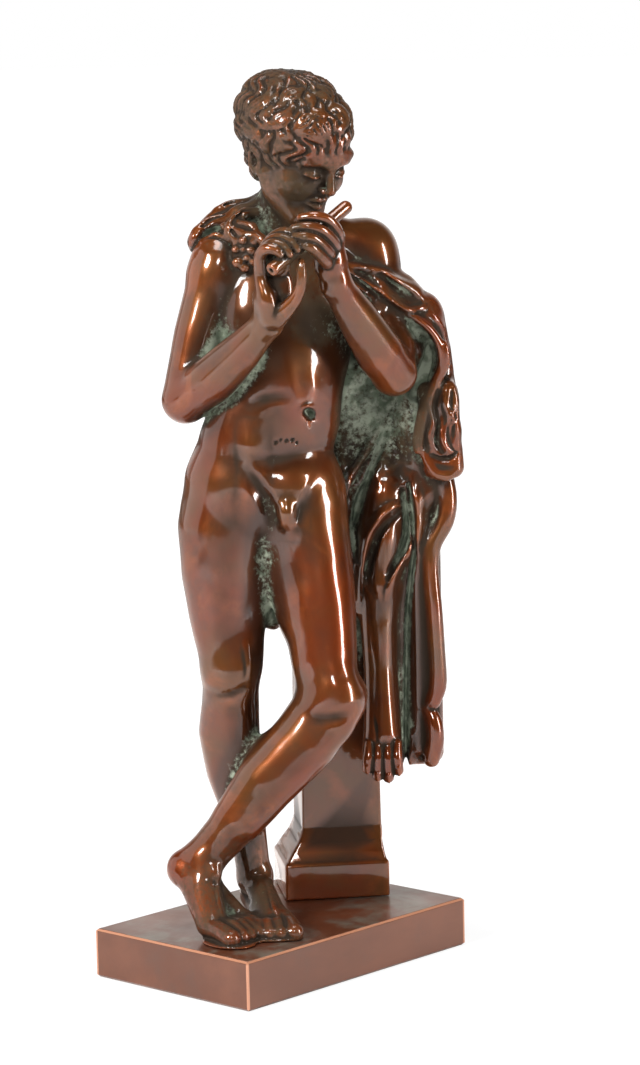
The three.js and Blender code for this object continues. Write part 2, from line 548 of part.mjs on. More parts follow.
function head(clay) {
  clay.roll([[5, 7, 236], [7, 4, 248], [9, 0, 260]], [10.6, 10, 10.2], { blend: 5 }); // neck
  clay.roll([[3, 8, 253], [-9, 4, 243.4]], [7.4, 6.4], { blend: 5 }); // from the neck to the shoulders
  clay.roll([[12, 6, 246], [24, 11, 242.6], [33, 16, 239]], [7, 7, 7.4], { blend: 5 });
  const { egg, roll, curl } = HEAD.formsOf(clay);
  egg([0, 2.5, 4.5], [12.6, 15.6, 13.2], { blend: 4 }); // skull
  egg([0, -4, -3.6], [10.6, 10.2, 13.2], { blend: 5 }); // face
  egg([0, -9.6, -14.6], [4.6, 4.2, 3.4], { blend: 3.5 }); // chin
  egg([0, -12.4, 4], [8.8, 2.2, 3], { blend: 3 }); // forehead
  roll([[0, -13.6, 1.6], [0, -15.3, -2], [0, -16.7, -4.8]], [1.3, 1.25, 1.5], { blend: 1.6 }); // nose
  for (const side of [-1, 1]) {
    roll([[side * 10, -0.5, -6.5], [side * 8, -3, -11], [side * 3.6, -9, -15]], [2.2, 2.4, 2.4],
      { blend: 4 }); // jaw
    curl([[side * 1.6, -14.2, 1.6], [side * 4.6, -13.8, 2.7], [side * 8, -11.8, 1.6]], [0.8, 1, 0.7], 6,
      { blend: 1.6 }); // the edge of the brow
    egg([side * 4.9, -15, -0.6], [3.2, 2.3, 1.9], { blend: 1.6, cut: true }); // eye hollow
    egg([side * 4.7, -11.8, -1], [2.8, 2.2, 1.7], { blend: 0.6 }); // lowered lid
    egg([side * 6.6, -8.4, -5.6], [3.8, 3.6, 3.2], { blend: 4 }); // cheek
    egg([side * 11, 2.6, -3.8], [1.6, 2.7, 4], { blend: 1 }); // ear
  }
  egg([0, -15.2, -5.2], [2.5, 1.5, 1.1], { blend: 0.8 }); // tip and wings of the nose
  egg([0, -12.9, -8.8], [3.6, 2, 1.1], { blend: 1 }); // lips
  egg([0, -12.5, -11], [3.2, 1.9, 1.1], { blend: 1 });
}

// Locks of hair: short curls swept down from the crown, each a tapered roll bent to one side.
function hair(clay) {
  const { egg, curl } = HEAD.formsOf(clay);
  const crown = { middle: [-0.9, 3.6, 6], radii: [14, 17.4, 13.6] };
  const nape = { middle: [0.6, 4.6, -2.6], radii: [10.8, 10.8, 11] };
  const rows = [
    { on: crown, up: 76, from: 20, to: 380, count: 5 },
    { on: crown, up: 54, from: 60, to: 420, count: 9 },
    { on: crown, up: 33, from: 10, to: 370, count: 12 },
    { on: crown, up: 12, from: 50, to: 410, count: 13 },
    { on: crown, up: -10, from: -12, to: 192, count: 9 },
    { on: nape, up: -2, from: 0, to: 180, count: 7 },
    { on: nape, up: -26, from: 12, to: 168, count: 6 },
  ];
  for (const { middle, radii } of [crown, nape]) egg(middle, radii, { blend: 2 });
  for (const [r, { on, up, from, to, count }] of rows.entries())
    for (let i = 0; i < count; i++) {
      const around = THREE.MathUtils.lerp(from, to, (i + 0.5) / count);
      const bend = (i + r) % 2 ? 14 : -10;
      const wide = 4.4 / Math.max(0.3, Math.cos(rad(up)));
      const at = (turned, rise, out) => {
        const [a, b] = [rad(turned), rad(rise)];
        const ray = [Math.cos(a) * Math.cos(b), Math.sin(a) * Math.cos(b), Math.sin(b)];
        return ray.map((share, axis) => on.middle[axis] + (on.radii[axis] - 0.6 + out) * share);
      };
      curl(
        [at(around, up + 10, -1), at(around + bend, up + 1, 0.2),
          at(around + bend * 0.2 - wide, up - 11, -0.2), at(around + wide * 0.6, up - 18, -0.8)],
        [1.4, 2.1, 1.7, 0.8], 7, { blend: 0.6 });
    }
}

// The skin's edge over the right shoulder: tongues that stand off it, and a tuft on the chest.
function peltOnShoulder(clay) {
  clay.curl([[-4, 8, 250], [-12, 7, 250], [-18, 6, 247.6], [-21.6, 4, 243.4]], [3.6, 4.2, 4, 3], 10,
    { blend: 2 });
  const tongues = [
    [[-6, 7, 254.4], [-11, 6.6, 254.2], [-15.6, 6, 252.2], [-19, 5, 249]],
    [[-4.4, 1, 253.4], [-9, 2, 252.8], [-15, 2, 250], [-21, 0.4, 247.4], [-23.8, -0.6, 242.6]],
    [[-20, 3, 246], [-23.4, 2, 243.6], [-24, 1, 241]],
    [[-3.6, -3.6, 252.6], [-6.8, -4.4, 252.2], [-9.4, -5.6, 250.2], [-11.6, -7.4, 248], [-10.6, -9, 246.6]],
    [[-4.4, -8, 250.4], [-7.6, -9, 249.2], [-9, -10.2, 247], [-7.8, -11, 245.8]],
    [[-8, -8.6, 249.8], [-4.8, -10, 249], [-2.6, -12, 246.8], [-4.4, -12.6, 246]],
    [[-7.2, -11.6, 245.8], [-3.4, -13.4, 245.8], [-0.8, -15, 244], [0.4, -15.6, 241.6]],
  ];
  for (const tongue of tongues) clay.curl(tongue, [1.4, 2.1, 2.2, 1.3], 10, { blend: 0.7 });
  clay.egg([-6.6, -11.4, 240.2], [4.6, 3, 6], { roll: 10, blend: 1.6 });
  for (const [x, z] of [[-7.2, 244], [-3.6, 243.8], [-9.8, 241.2], [-4.9, 240.8], [-9, 237], [-6.6, 235.4]])
    clay.egg([x, -13.8 - 0.1 * (241 - z), z], [1.8, 1.5, 1.6], { blend: 0.5 });
}

// Across the back, over the pillar's top and down its back.
function peltBehind(clay) {
  clay.curl([[-18, 8, 243], [-13, 16, 235], [2, 24, 221], [20, 29, 206]], [4.4, 6, 8, 9], 10, { blend: 4 });
  clay.roll([[20, 29, 206], [40, 24, 192]], [9, 9], { blend: 5 });
  clay.roll([[10, 26, 220], [36, 25, 206]], [6, 8], { blend: 5 });
  clay.egg([17.5, 33, 172], [17.5, 15.5, 7.5], { turn: 7.5, blend: 4 });
  clay.block([18, 45.5, 146], [13.6, 3.6, 32], { turn: 7.5, round: 3.4, blend: 4 });
  for (const [x, y, low] of [[7, 47, 118], [14.5, 49.6, 108], [22, 49.4, 112], [29, 50, 104]])
    clay.roll([[x + 2, y - 4, 174], [x, y, 156], [x - 0.6, y, low]], [3.4, 2.8, 2.2], { blend: 2.6 });
  clay.roll([[38, 30, 184], [42, 28, 140], [44, 25, 76]], [7, 5.4, 4.4], { blend: 5 });
}

// The folds over the left upper arm, and the hem that curves down to the hanging lobe.
function peltOverArm(clay) {
  clay.roll([[26, 5, 229.6], [38, 4.6, 226.4], [47, 8, 221.4]], [3.6, 4.6, 5.2], { blend: 2.5 });
  clay.roll([[28, 4.6, 223], [40, 4.8, 219.6], [49, 7.6, 214]], [2.6, 4.4, 5.4], { blend: 2.5 });
  clay.egg([50.4, 12, 212], [8, 8.6, 12], { roll: 14, blend: 3 });
  clay.roll([[50, 13, 220], [55.2, 12.4, 205], [57.4, 13, 188]], [4, 5, 5.2], { blend: 3 });
  clay.roll([[46, 15, 206], [47, 18, 178]], [7, 7.4], { blend: 3 });
  clay.egg([43, 11, 225], [7, 6, 6], { blend: 3 });
  clay.curl(
    [[30.5, 2.6, 223.5], [39.6, 1.4, 220.2], [46.6, 1, 216.8], [52.6, 2.4, 212.2], [56.4, 3.6, 206],
      [57.2, 4.2, 200.4], [55, 4, 195.4], [52.4, 3.6, 190.4]],
    [1.2, 1.7, 1.9, 2.1, 2.3, 2.3, 2, 1.7], 20, { blend: 1.6 });
  // Folds that fan out from the wrist, and the hollow inside the hem
  const arm = [-6, 16];
  clay.stroke([[25, 235.2], [31, 234.4], [38, 232.4], [43, 229.6], [50, 226.4]], [0.8, 1.8, 1.8, 0.6],
    [1.4, 3], arm);
  clay.stroke([[25.5, 233.6], [33, 228.4], [37.5, 225], [42, 221.6]], [0.6, 1.6, 1.5, 0.5], [1.6, 1.8], arm);
  clay.stroke([[26, 232.2], [31.6, 228.4], [36.5, 224.2]], [-0.6, -1.6, -0.6], [1.2, 1.2], arm);
  clay.stroke([[37.6, 230.6], [41, 227.6], [45, 224.2], [49.6, 221.6]], [-0.9, -2.2, -2.4, -0.8],
    [2.2, 2.4], [-6, 9]);
  clay.stroke([[36, 229.2], [38.6, 225.4], [42, 222.2], [46.4, 219.6], [51.4, 219.8]],
    [0.4, 1.6, 1.6, 0.6], [1.5, 1.9], arm);
  clay.stroke([[40.6, 218], [47, 214], [52, 208.6], [53.2, 202.4], [51, 196.4], [48.6, 190]],
    [-0.5, -2.2, -4, -5, -4.6, -3], [3, 3.4], [-6, 12]);
}

// The stiff lobe at the skin's outer edge: a smooth rolled rim round combed tufts.
function peltLobe(clay) {
  clay.block([56.6, 7, 178.6], [7, 4.2, 16.4], { roll: -4, round: 3.6, blend: 2 });
  clay.curl([[54.6, 4.6, 194], [51.8, 3.6, 188.6], [50, 3, 182], [48.8, 3, 176], [48.8, 3.4, 172.6]],
    [1.6, 1.9, 2, 2, 1.7], 12, { blend: 1.4 });
  clay.curl([[50.4, 4, 171.6], [52.4, 3.6, 167.4], [54.6, 3.4, 164.4], [58, 3.4, 163.6], [61.4, 4.4, 164.6]],
    [1.3, 1.7, 1.9, 2, 1.6], 12, { blend: 1.2 });
  const lobe = [-3, 14];
  clay.stroke([[55.6, 192], [54.6, 186], [55.4, 180], [55.2, 174], [57.6, 170]], [-0.8, -1.8, -2.2, -1],
    [1.3, 1.5], lobe);
  for (const x of [57.6, 60.8])
    for (const z of [190, 180])
      clay.stroke([[x, z], [x - 0.4, z - 5], [x + 0.8, z - 9], [x - 0.4, z - 14]], [0.3, 1.4, 1.4, 0.2],
        [1.5, 1.7], lobe);
}

// Down the front of the pillar: plain ground above, then a flap and the skin's rolled border.
function peltFront(clay) {
  clay.roll([[36, 23, 194], [39, 22, 166], [38, 21, 110]], [8.6, 10, 8.6], { blend: 5 });
  clay.roll([[27, 23, 192], [26, 24, 150]], [8, 7], { blend: 5 });
  clay.block([47, 18.4, 113], [9, 5.8, 50], { turn: 4, round: 4.6, blend: 3 });
  clay.roll([[38.6, 16, 168], [37.5, 14.6, 156], [35.6, 14, 142], [35, 13.6, 126]], [4.4, 6.4, 7.6, 7.2],
    { blend: 3 });
  clay.roll([[24.6, 16, 164], [24, 16.6, 152], [26.6, 16, 136], [28.4, 15.6, 118]], [2.6, 3.4, 3, 3],
    { blend: 3 });
  clay.curl(
    [[57, 13, 166], [58.6, 12.6, 155], [57.4, 12, 147], [53.4, 11.6, 139], [52.6, 11, 130], [53.4, 10.6, 117],
      [54, 10.6, 103], [54.2, 10.6, 92], [52.6, 10.6, 86]],
    [3, 3.2, 3.2, 2.8, 2.6, 2.8, 2.9, 3.1, 2.6], 24, { blend: 2.4 });
  clay.curl([[51, 11.4, 83], [52.6, 10.6, 78.6], [52.9, 10.4, 72], [51.6, 10.8, 66]], [2.2, 3, 3.1, 2.8], 10,
    { blend: 1.2 });
  clay.roll([[44, 13.4, 74], [43.6, 14, 66]], [2.4, 2.4], { blend: 2 });
  clay.roll([[48, 17, 180], [50, 17, 158]], [7, 7], { blend: 4 });
  clay.block([34.6, 20.6, 180], [13.4, 5.6, 21], { turn: 6, round: 3, blend: 5 });
  const sheet = [2, 22];
  clay.stroke([[38, 198], [37, 186], [38, 176], [41, 166]], [-0.6, -2, -1.6, -0.6], [9, 9], sheet);
  // The long fold off the ground and the channel beside it
  clay.stroke([[38, 181], [34, 175], [30.6, 169.6], [27, 164], [23.6, 158], [23, 150], [26, 137]],
    [0.6, 2, 2.4, 2.4, 1.8, 1.2, 0.6], [2.2, 2.4], sheet);
  clay.stroke([[38.6, 177.6], [35.6, 170.5], [32.2, 162.6], [28.6, 153.6], [26.6, 145], [28, 134]],
    [-0.8, -2, -2.2, -2, -1.6, -0.8], [1.8, 1.6], sheet);
  // The flap's rolled left edge, and the hollow inside it
  clay.stroke([[43, 153.4], [39.8, 152.4], [37, 150.6], [34.4, 147.6], [31.8, 143.6], [30, 137.6],
    [28.8, 129.6], [28.2, 121], [28.6, 112]],
    [0.6, 1.8, 2.2, 2.2, 2, 1.8, 1.6, 1.4, 0.6], [1.4, 1.7], sheet, 32);
  clay.stroke([[42.2, 150.4], [38.6, 147.6], [35.4, 143.6], [33.4, 138], [32, 132], [32.2, 126], [34.4, 120]],
    [-0.8, -1.6, -2.4, -2.6, -2.4, -1.8, -0.6], [1.7, 2.2], sheet);
  // The flap that falls from the right, and the crevice beside it
  clay.stroke([[46.4, 160], [48, 154], [48.4, 148], [47.6, 142.6], [45.2, 137.6], [42, 133], [39.4, 128.4],
    [37.6, 119]], [0.5, 1.8, 2.4, 2.4, 2.2, 2, 1.8, 0.3], [2.4, 1.4], sheet, 32);
  clay.stroke([[43.6, 158], [44.6, 150], [44.4, 143], [42.4, 137.4], [39.6, 133], [37.4, 129]],
    [-1, -2.6, -3, -2.4, -1.6, -0.6], [1.6, 1.8], sheet);
  // The channel between the leg of the skin and the border
  clay.stroke([[45.6, 160], [46.6, 148], [47, 139], [45.8, 128], [44.6, 117], [44, 104], [43, 62]],
    [-1.4, -2.6, -3, -3.2, -3.2, -3.2, -3.2], [1.7, 1.7], sheet, 32);
}

// A leg of the skin with its paw, down the front.
function peltPaw(clay) {
  clay.roll([[35, 13.4, 126], [34.6, 12.6, 112], [35, 12, 98], [35.2, 11, 86], [35.2, 9.6, 76]],
    [7, 6.2, 5.8, 6, 6.4], { blend: 2.4 });
  clay.egg([35, 8, 70.6], [6.8, 5, 7.4], { blend: 2 });
  for (const [x, low, lean] of [[30.2, 62.8, -0.4], [33.3, 60.2, -0.1], [36.6, 59.6, 0.2], [39.6, 62, 0.5]])
    clay.roll([[x + 0.3, 5, 73], [x, 3.2, 68.6], [x + lean, 3, low + 1.4]], [1.6, 2, 1.6], { blend: 0.5 });
  const leg = [-2, 14];
  clay.stroke([[30.6, 112], [31, 98], [31.4, 88], [30.6, 78]], [0.3, 0.9, 1, 0.5], [1.4, 2], leg);
  clay.stroke([[36.6, 110], [36, 98], [36.8, 86], [37.4, 76]], [0.4, 1.1, 1.1, 0.4], [2.2, 2.2], leg);
}

function pelt(clay) {
  for (const form of [peltBehind, peltOnShoulder, peltOverArm, peltFront, peltLobe, peltPaw]) form(clay);
}

// The pillar: a square foot, a hollow moulding and a shaft that narrows slightly.
const PILLAR = { centre: [16.9, 33.2], turn: 7.5, foot: 36, deep: 32.6, shaft: 27.4, offset: 2.4, top: 172 };

function pillar() {
  const { centre, turn, foot, deep, shaft, offset, top } = PILLAR;
  const shelf = 28.6;
  const neck = 41;
  const profile = [
    [0, FLOOR], [foot / 2, FLOOR], [foot / 2, shelf], [foot / 2 - 0.8, shelf + 1], [foot / 2 - 2, shelf + 4],
    [foot / 2 - 3.4, shelf + 7.4], [shaft / 2, neck], [shaft / 2 - 1.4, top], [0, top],
  ];
  const lathe = new THREE.LatheGeometry(profile.map(([r, z]) => new THREE.Vector2(r * Math.SQRT2, z)), 4);
  lathe.rotateX(Math.PI / 2).rotateZ(rad(45)).scale(1, deep / foot, 1);
  // The shaft stands off the middle of its foot
  const points = lathe.getAttribute("position");
  for (let i = 0; i < points.count; i++) {
    const share = THREE.MathUtils.smoothstep(points.getZ(i), shelf, neck);
    points.setX(i, points.getX(i) + offset * share);
  }
  lathe.rotateZ(rad(turn)).translate(...centre, 0);
  // The corner that would hang over the plinth's end is trimmed off
  const end = new THREE.BoxGeometry(40, 200, 400).translate(PLINTH.length / 2 - 0.8 + 20, 0, 0);
  return solidOf(lathe).subtract(solidOf(end.rotateZ(rad(-FIGURE_TURN))));
}

const wasm = await Module();
wasm.setup();

// A closed three.js geometry as a solid that can be joined and cut.
function solidOf(geometry) {
  const { array } = geometry.getAttribute("position");
  const order = geometry.index?.array ?? Array.from({ length: array.length / 3 }, (_, i) => i);
  const known = new Map();
  const vertices = [];
  const same = (i) => {
    const point = [0, 1, 2].map((axis) => Math.round(array[3 * i + axis] * 1e4) / 1e4);
    const key = point.join();
    if (!known.has(key)) {
      known.set(key, vertices.length / 3);
      vertices.push(...point);
    }
    return known.get(key);
  };
  const triangles = [];
  for (let i = 0; i < order.length; i += 3) {
    const [a, b, c] = [same(order[i]), same(order[i + 1]), same(order[i + 2])];
    if (a !== b && b !== c && c !== a) triangles.push(a, b, c);
  }
  const vertProperties = Float32Array.from(vertices);
  const triVerts = Uint32Array.from(triangles);
  return new wasm.Manifold(new wasm.Mesh({ numProp: 3, vertProperties, triVerts }));
}

function geometryOf(solid) {
  const { vertProperties, triVerts } = solid.getMesh();
  const geometry = new THREE.BufferGeometry();
  geometry.setAttribute("position", new THREE.BufferAttribute(Float32Array.from(vertProperties), 3));
  geometry.setIndex(Array.from(triVerts));
  return geometry;
}

function pipe() {
  const { from, to, radius, bore } = PIPE;
  const along = vec(to).sub(vec(from));
  const aim = new THREE.Matrix4().lookAt(along, new THREE.Vector3(), new THREE.Vector3(0, 0, 1));
  const rod = (thick, start, length) =>
    solidOf(
      new THREE.CylinderGeometry(thick, thick, length, 20)
        .rotateX(Math.PI / 2)
        .translate(0, 0, start + length / 2)
        .applyMatrix4(aim)
        .translate(...from));
  return rod(radius, 0, along.length()).subtract(rod(bore, -1, 3));
}

function figure() {
  const clay = new Clay([-46, -62, FLOOR - 4], [72, 56, 306], CELL);
  for (const form of [torso, legs, feet, arms, pelt, head, hair, hands, ground]) form(clay);
  clay.fillHollows();
  const small = (x, y, z) => (z > 250 ? 3 : z > 236 && y < -28 ? 4 : z < 26 ? 2.5 : 1);
  const below = new THREE.BoxGeometry(300, 300, 20).translate(0, 0, FLOOR - 10);
  return solidOf(thin(clay.skin(), SKIN_TRIANGLES, small))
    .subtract(solidOf(below))
    .add(pillar())
    .add(pipe());
}

function plinth() {
  const { length, width, height, edge } = PLINTH;
  const [a, b] = [length / 2, width / 2];
  const corners = [[-a, -b], [a, -b], [a, b], [-a, b]];
  const outline = new THREE.Shape(corners.map(([x, y]) =>
    new THREE.Vector2(x - Math.sign(x) * edge, y - Math.sign(y) * edge)));
  return new THREE.ExtrudeGeometry(outline, {
    depth: height - 2 * edge, bevelEnabled: true, bevelThickness: edge, bevelSize: edge, bevelSegments: 1,
  }).translate(0, 0, edge);
}

const bronze = () => new THREE.MeshStandardMaterial({ color: BRONZE, roughness: 0.32, metalness: 0.85 });
const named = (name, geometry) => Object.assign(new THREE.Mesh(geometry, bronze()), { name });

const part = new THREE.Group();
part.name = "bronze_figure";
part.add(named("plinth", plinth()));
part.add(named("figure", geometryOf(figure()).rotateZ(rad(FIGURE_TURN))));

export default part;
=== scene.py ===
import math
from functools import partialmethod

import bmesh
import bpy
import numpy as np
import openvdb
from mathutils import Matrix, Vector


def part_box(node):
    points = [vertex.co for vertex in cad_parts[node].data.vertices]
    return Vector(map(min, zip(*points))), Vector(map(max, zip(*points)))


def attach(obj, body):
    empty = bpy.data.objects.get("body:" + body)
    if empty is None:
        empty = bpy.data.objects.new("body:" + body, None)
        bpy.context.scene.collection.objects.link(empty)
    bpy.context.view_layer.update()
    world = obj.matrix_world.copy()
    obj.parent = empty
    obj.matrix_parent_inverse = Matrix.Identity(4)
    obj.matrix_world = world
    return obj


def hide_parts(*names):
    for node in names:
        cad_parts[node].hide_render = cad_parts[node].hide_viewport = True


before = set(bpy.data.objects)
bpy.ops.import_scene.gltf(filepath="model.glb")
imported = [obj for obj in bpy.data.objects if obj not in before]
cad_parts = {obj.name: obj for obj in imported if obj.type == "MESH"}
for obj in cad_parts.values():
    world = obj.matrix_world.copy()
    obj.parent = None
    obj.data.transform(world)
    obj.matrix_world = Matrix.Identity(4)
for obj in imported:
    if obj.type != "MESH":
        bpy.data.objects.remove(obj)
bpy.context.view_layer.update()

# The casting is modelled as a sculptor works, the way the solid was, and finer: limbs, muscles, folds and
# locks are tapered rolls and eggs of clay, pressed softly into each other. The clay is a distance field.
# Its forms are given in millimetres in the figure's own frame: X to its left, Y behind it, Z up.
# FLOOR is the casting's underside. CELL is the field's step, and FAR the distance it starts from.
MM = 0.001
FIGURE_TURN = -47.2
PILLAR_TURN = 7.5
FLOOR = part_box("figure")[0].z / MM
CELL = 0.5
FAR = 8.0
CASTING_TRIANGLES = 190000
CLAY_LOW = (-46, -62, FLOOR - 4)
CLAY_HIGH = (72, 56, 306)
MARGIN_CELLS = 2.5
SKIN_CELLS = 3
LEAST_NEAR = 1e-3
LEAST_SLOPE = 1e-4
GRAIN_GAIN = 2.5
HEAD_RADIUS = 18
WHORL_LEAN = math.radians(24)
PARTING_FADE = 9


def turned(turn=0.0, nod=0.0, roll=0.0):
    """A turn to the left about Z, a nod forward about X, a roll to the left about Y, in degrees."""
    angles = (turn, "Z"), (nod, "X"), (roll, "Y")
    about_z, about_x, about_y = (Matrix.Rotation(math.radians(angle), 3, axis) for angle, axis in angles)
    return about_z @ about_x @ about_y


def curve_through(points, steps):
    """Points along a smooth curve through the given ones."""
    points = np.array(points, float)
    padded = np.vstack([2 * points[0] - points[1], points, 2 * points[-1] - points[-2]])
    at = np.linspace(0, len(points) - 1, steps + 1)
    i = np.minimum(at.astype(int), len(points) - 2)
    t = (at - i)[:, None]
    before, start, end, after = (padded[i + k] for k in range(4))
    return 0.5 * (
        2 * start
        + (end - before) * t
        + (2 * before - 5 * start + 4 * end - after) * t**2
        + (3 * start - before - 3 * end + after) * t**3
    )


def own_places(places, centre, axes):
    """Places seen from a centre along its own left, back and up."""
    x, y, z = (part - middle for part, middle in zip(places, centre))
    return [axes[0][a] * x + axes[1][a] * y + axes[2][a] * z for a in range(3)]


def block_of(first, last):
    """The part of a grid between two cells."""
    return tuple(slice(a, b) for a, b in zip(first, last))


class Clay:
    """The distance to the skin of a lump of clay, less than nothing inside it, on a grid of cells."""

    def __init__(self, low, high, cell):
        self.cell = cell
        self.low = np.array(low, float)
        self.count = np.ceil((np.array(high) - self.low) / cell).astype(int) + 1
        self.field = np.full(self.count, FAR, np.float32)

    def window(self, low, high, margin):
        """The first and last cells that a box and a margin round it can reach."""
        first = np.floor((np.array(low) - margin - self.low) / self.cell).astype(int)
        last = np.ceil((np.array(high) + margin - self.low) / self.cell).astype(int) + 1
        return np.clip(first, 0, self.count), np.clip(last, 0, self.count)

    def places(self, first, last):
        """The places of the cells in a window, as three arrays that spread over each other."""
        axes = [
            (self.low[a] + self.cell * np.arange(first[a], last[a])).astype(np.float32) for a in range(3)
        ]
        return axes[0][:, None, None], axes[1][None, :, None], axes[2][None, None, :]

    def merge(self, distance, first, last, blend, cut):
        """Presses a form, given as its distances in a window, into the clay, or cuts it out."""
        place = block_of(first, last)
        here = self.field[place]
        other = -distance if cut else distance
        soft = np.maximum(blend - np.abs(here - other), 0) ** 2 / (4 * blend)
        self.field[place] = np.maximum(here, other) + soft if cut else np.minimum(here, other) - soft

    def margin(self, blend):
        """How far past a form the clay still feels it."""
        return blend + MARGIN_CELLS * self.cell

    def seen_from(self, centre, axes, reach, margin):
        """The window within a reach of a centre, and its places along the centre's own left, back and up."""
        centre = np.array(centre, float)
        first, last = self.window(centre - reach, centre + reach, margin)
        return first, last, own_places(self.places(first, last), centre, axes)

    def egg(self, centre, radii, turn=0, nod=0, roll=0, blend=1.0, cut=False):
        """An egg: radii along its own left, back and up."""
        axes = turned(turn, nod, roll)
        reach = np.array([math.hypot(*(axes[a][b] * radii[b] for b in range(3))) for a in range(3)])
        first, last, p = self.seen_from(centre, axes, reach, self.margin(blend))
        self.merge(egg_distance(p, radii)[0], first, last, blend, cut)

    def block(self, centre, half, turn=0, nod=0, roll=0, round=1.0, blend=1.0, cut=False):
        """A block with rounded edges: half sizes along its own left, back and up."""
        axes = turned(turn, nod, roll)
        first, last, p = self.seen_from(centre, axes, math.hypot(*half), self.margin(blend))
        q = [np.abs(p[a]) - half[a] + round for a in range(3)]
        outside = np.sqrt(sum(np.maximum(part, 0) ** 2 for part in q))
        inside = np.minimum(np.maximum(np.maximum(q[0], q[1]), q[2]), 0)
        self.merge(outside + inside - round, first, last, blend, cut)

    def roll(self, points, radii, blend=1.0, cut=False):
        """A roll from point to point, tapered between the radii."""
        points = np.array(points, float)
        radii = np.array(radii, float)
        margin = self.margin(blend)
        first, last = self.window((points - radii[:, None]).min(0), (points + radii[:, None]).max(0), margin)
        least = np.full(np.maximum(last - first, 0), FAR, np.float32)
        for a, b, ra, rb in zip(points, points[1:], radii, radii[1:]):
            low = np.minimum(a - ra, b - rb)
            high = np.maximum(a + ra, b + rb)
            start, end = self.window(low, high, margin)
            part = block_of(start - first, end - first)
            distance = tapered(*self.places(start, end), a, b, ra, rb)
            least[part] = np.minimum(least[part], distance)
        self.merge(least, first, last, blend, cut)

    def curl(self, points, radii, steps, blend=1.0, cut=False):
        """A smooth roll through the points, its radius eased from the first to the last of radii."""
        thick = np.interp(np.linspace(0, len(radii) - 1, steps + 1), range(len(radii)), radii)
        self.roll(curve_through(points, steps), thick, blend, cut)

    def stroke(self, path, heights, left, right, front, back, steps=24):
        """A fold or a groove drawn on the front of the clay, between two depths, along a smooth path of
        (x, z) places. It raises the clay by the heights, or lowers it where they are less than nothing,
        and fades out over a width to the left and one to the right of its way."""
        line = curve_through(path, steps)
        wide = max(left, right)
        low = [line[:, 0].min() - wide, front, line[:, 1].min() - wide]
        high = [line[:, 0].max() + wide, back, line[:, 1].max() + wide]
        first, last = self.window(low, high, 0)
        x, _, z = self.places(first, last)
        x, z = x[:, 0, :], z[:, 0, :]
        nearest = np.full((last[0] - first[0], last[2] - first[2]), FAR * FAR, np.float32)
        share = np.zeros_like(nearest)
        side = np.zeros_like(nearest)
        for i, (a, b) in enumerate(zip(line, line[1:])):
            way = b - a
            along = np.clip(((x - a[0]) * way[0] + (z - a[1]) * way[1]) / (way @ way), 0, 1)
            dx, dz = x - a[0] - along * way[0], z - a[1] - along * way[1]
            apart = dx * dx + dz * dz
            closer = apart < nearest
            nearest[closer] = apart[closer]
            share[closer] = ((i + along) / steps)[closer]
            side[closer] = (way[0] * dz - way[1] * dx)[closer]
        away = np.sqrt(nearest) / np.where(side > 0, left, right)
        height = np.interp(share, np.linspace(0, 1, len(heights)), heights)
        raised = (height * np.maximum(1 - away * away, 0) ** 2).astype(np.float32)
        place = block_of(first, last)
        self.field[place] -= raised[:, None, :]

    def strokes(self, front, back, rows):
        """Strokes between the same two depths: each row is a path, heights, two widths and at times steps."""
        for path, heights, left, right, *steps in rows:
            self.stroke(path, heights, left, right, front, back, *steps)

    def grain(self, low, high, size, amount, seed):
        """Roughens the clay in a box by smooth noise with a grain of that size each way, which fades out
        towards the sides of the box."""
        first, last = self.window(low, high, 0)
        counts = np.ceil((last - first) * self.cell / np.array(size)).astype(int) + 4
        noise = np.random.default_rng(seed).uniform(-1, 1, counts)
        for axis in range(3):
            at = np.arange(last[axis] - first[axis]) * self.cell / size[axis]
            base = at.astype(int)
            t = at - base
            weights = [(1 - t) ** 3, 3 * t**3 - 6 * t**2 + 4, -3 * t**3 + 3 * t**2 + 3 * t + 1, t**3]
            across = [1, 1, 1]
            across[axis] = -1
            noise = sum(
                np.take(noise, base + k, axis) * (weight / 6).reshape(across)
                for k, weight in enumerate(weights)
            )
            edge = np.sin(np.pi * (np.arange(len(at)) + 0.5) / len(at))
            noise = noise * np.minimum(2.5 * edge, 1).reshape(across)
        place = block_of(first, last)
        self.field[place] -= (GRAIN_GAIN * amount * noise).astype(np.float32)

    def skin(self, name):
        """The clay's skin as a mesh, in metres, in the figure's own frame."""
        depth = SKIN_CELLS * self.cell
        grid = openvdb.FloatGrid(depth)
        grid.copyFromArray(np.clip(self.field, -depth, depth))
        points, _, quads = grid.convertToPolygons(0.0, 0.0)
        mesh = bpy.data.meshes.new(name)
        mesh.from_pydata((points * self.cell + self.low) * MM, [], quads)
        mesh.validate()
        return mesh


def egg_distance(p, radii):
    """The distance to an egg, the places in shares of its radii, and how far out they lie in such shares."""
    q = [p[a] / radii[a] for a in range(3)]
    near = np.maximum(np.sqrt(q[0] ** 2 + q[1] ** 2 + q[2] ** 2), LEAST_NEAR)
    slope = np.sqrt((q[0] / radii[0]) ** 2 + (q[1] / radii[1]) ** 2 + (q[2] / radii[2]) ** 2)
    return near * (near - 1) / np.maximum(slope, LEAST_SLOPE), q, near


def press(tool, rows):
    """Presses rows of forms into the clay. A row with one place is an egg, and may end with its turn, nod
    and roll. A row with several is a roll, and a smooth curl where it ends with its steps. Radii and a
    blend come between. A blend less than nothing cuts the form out."""
    for place, radii, blend, *rest in rows:
        options = {"blend": abs(blend), "cut": blend < 0}
        if np.ndim(place) == 1:
            tool.egg(place, radii, *rest, **options)
        elif rest:
            tool.curl(place, radii, *rest, **options)
        else:
            tool.roll(place, radii, **options)


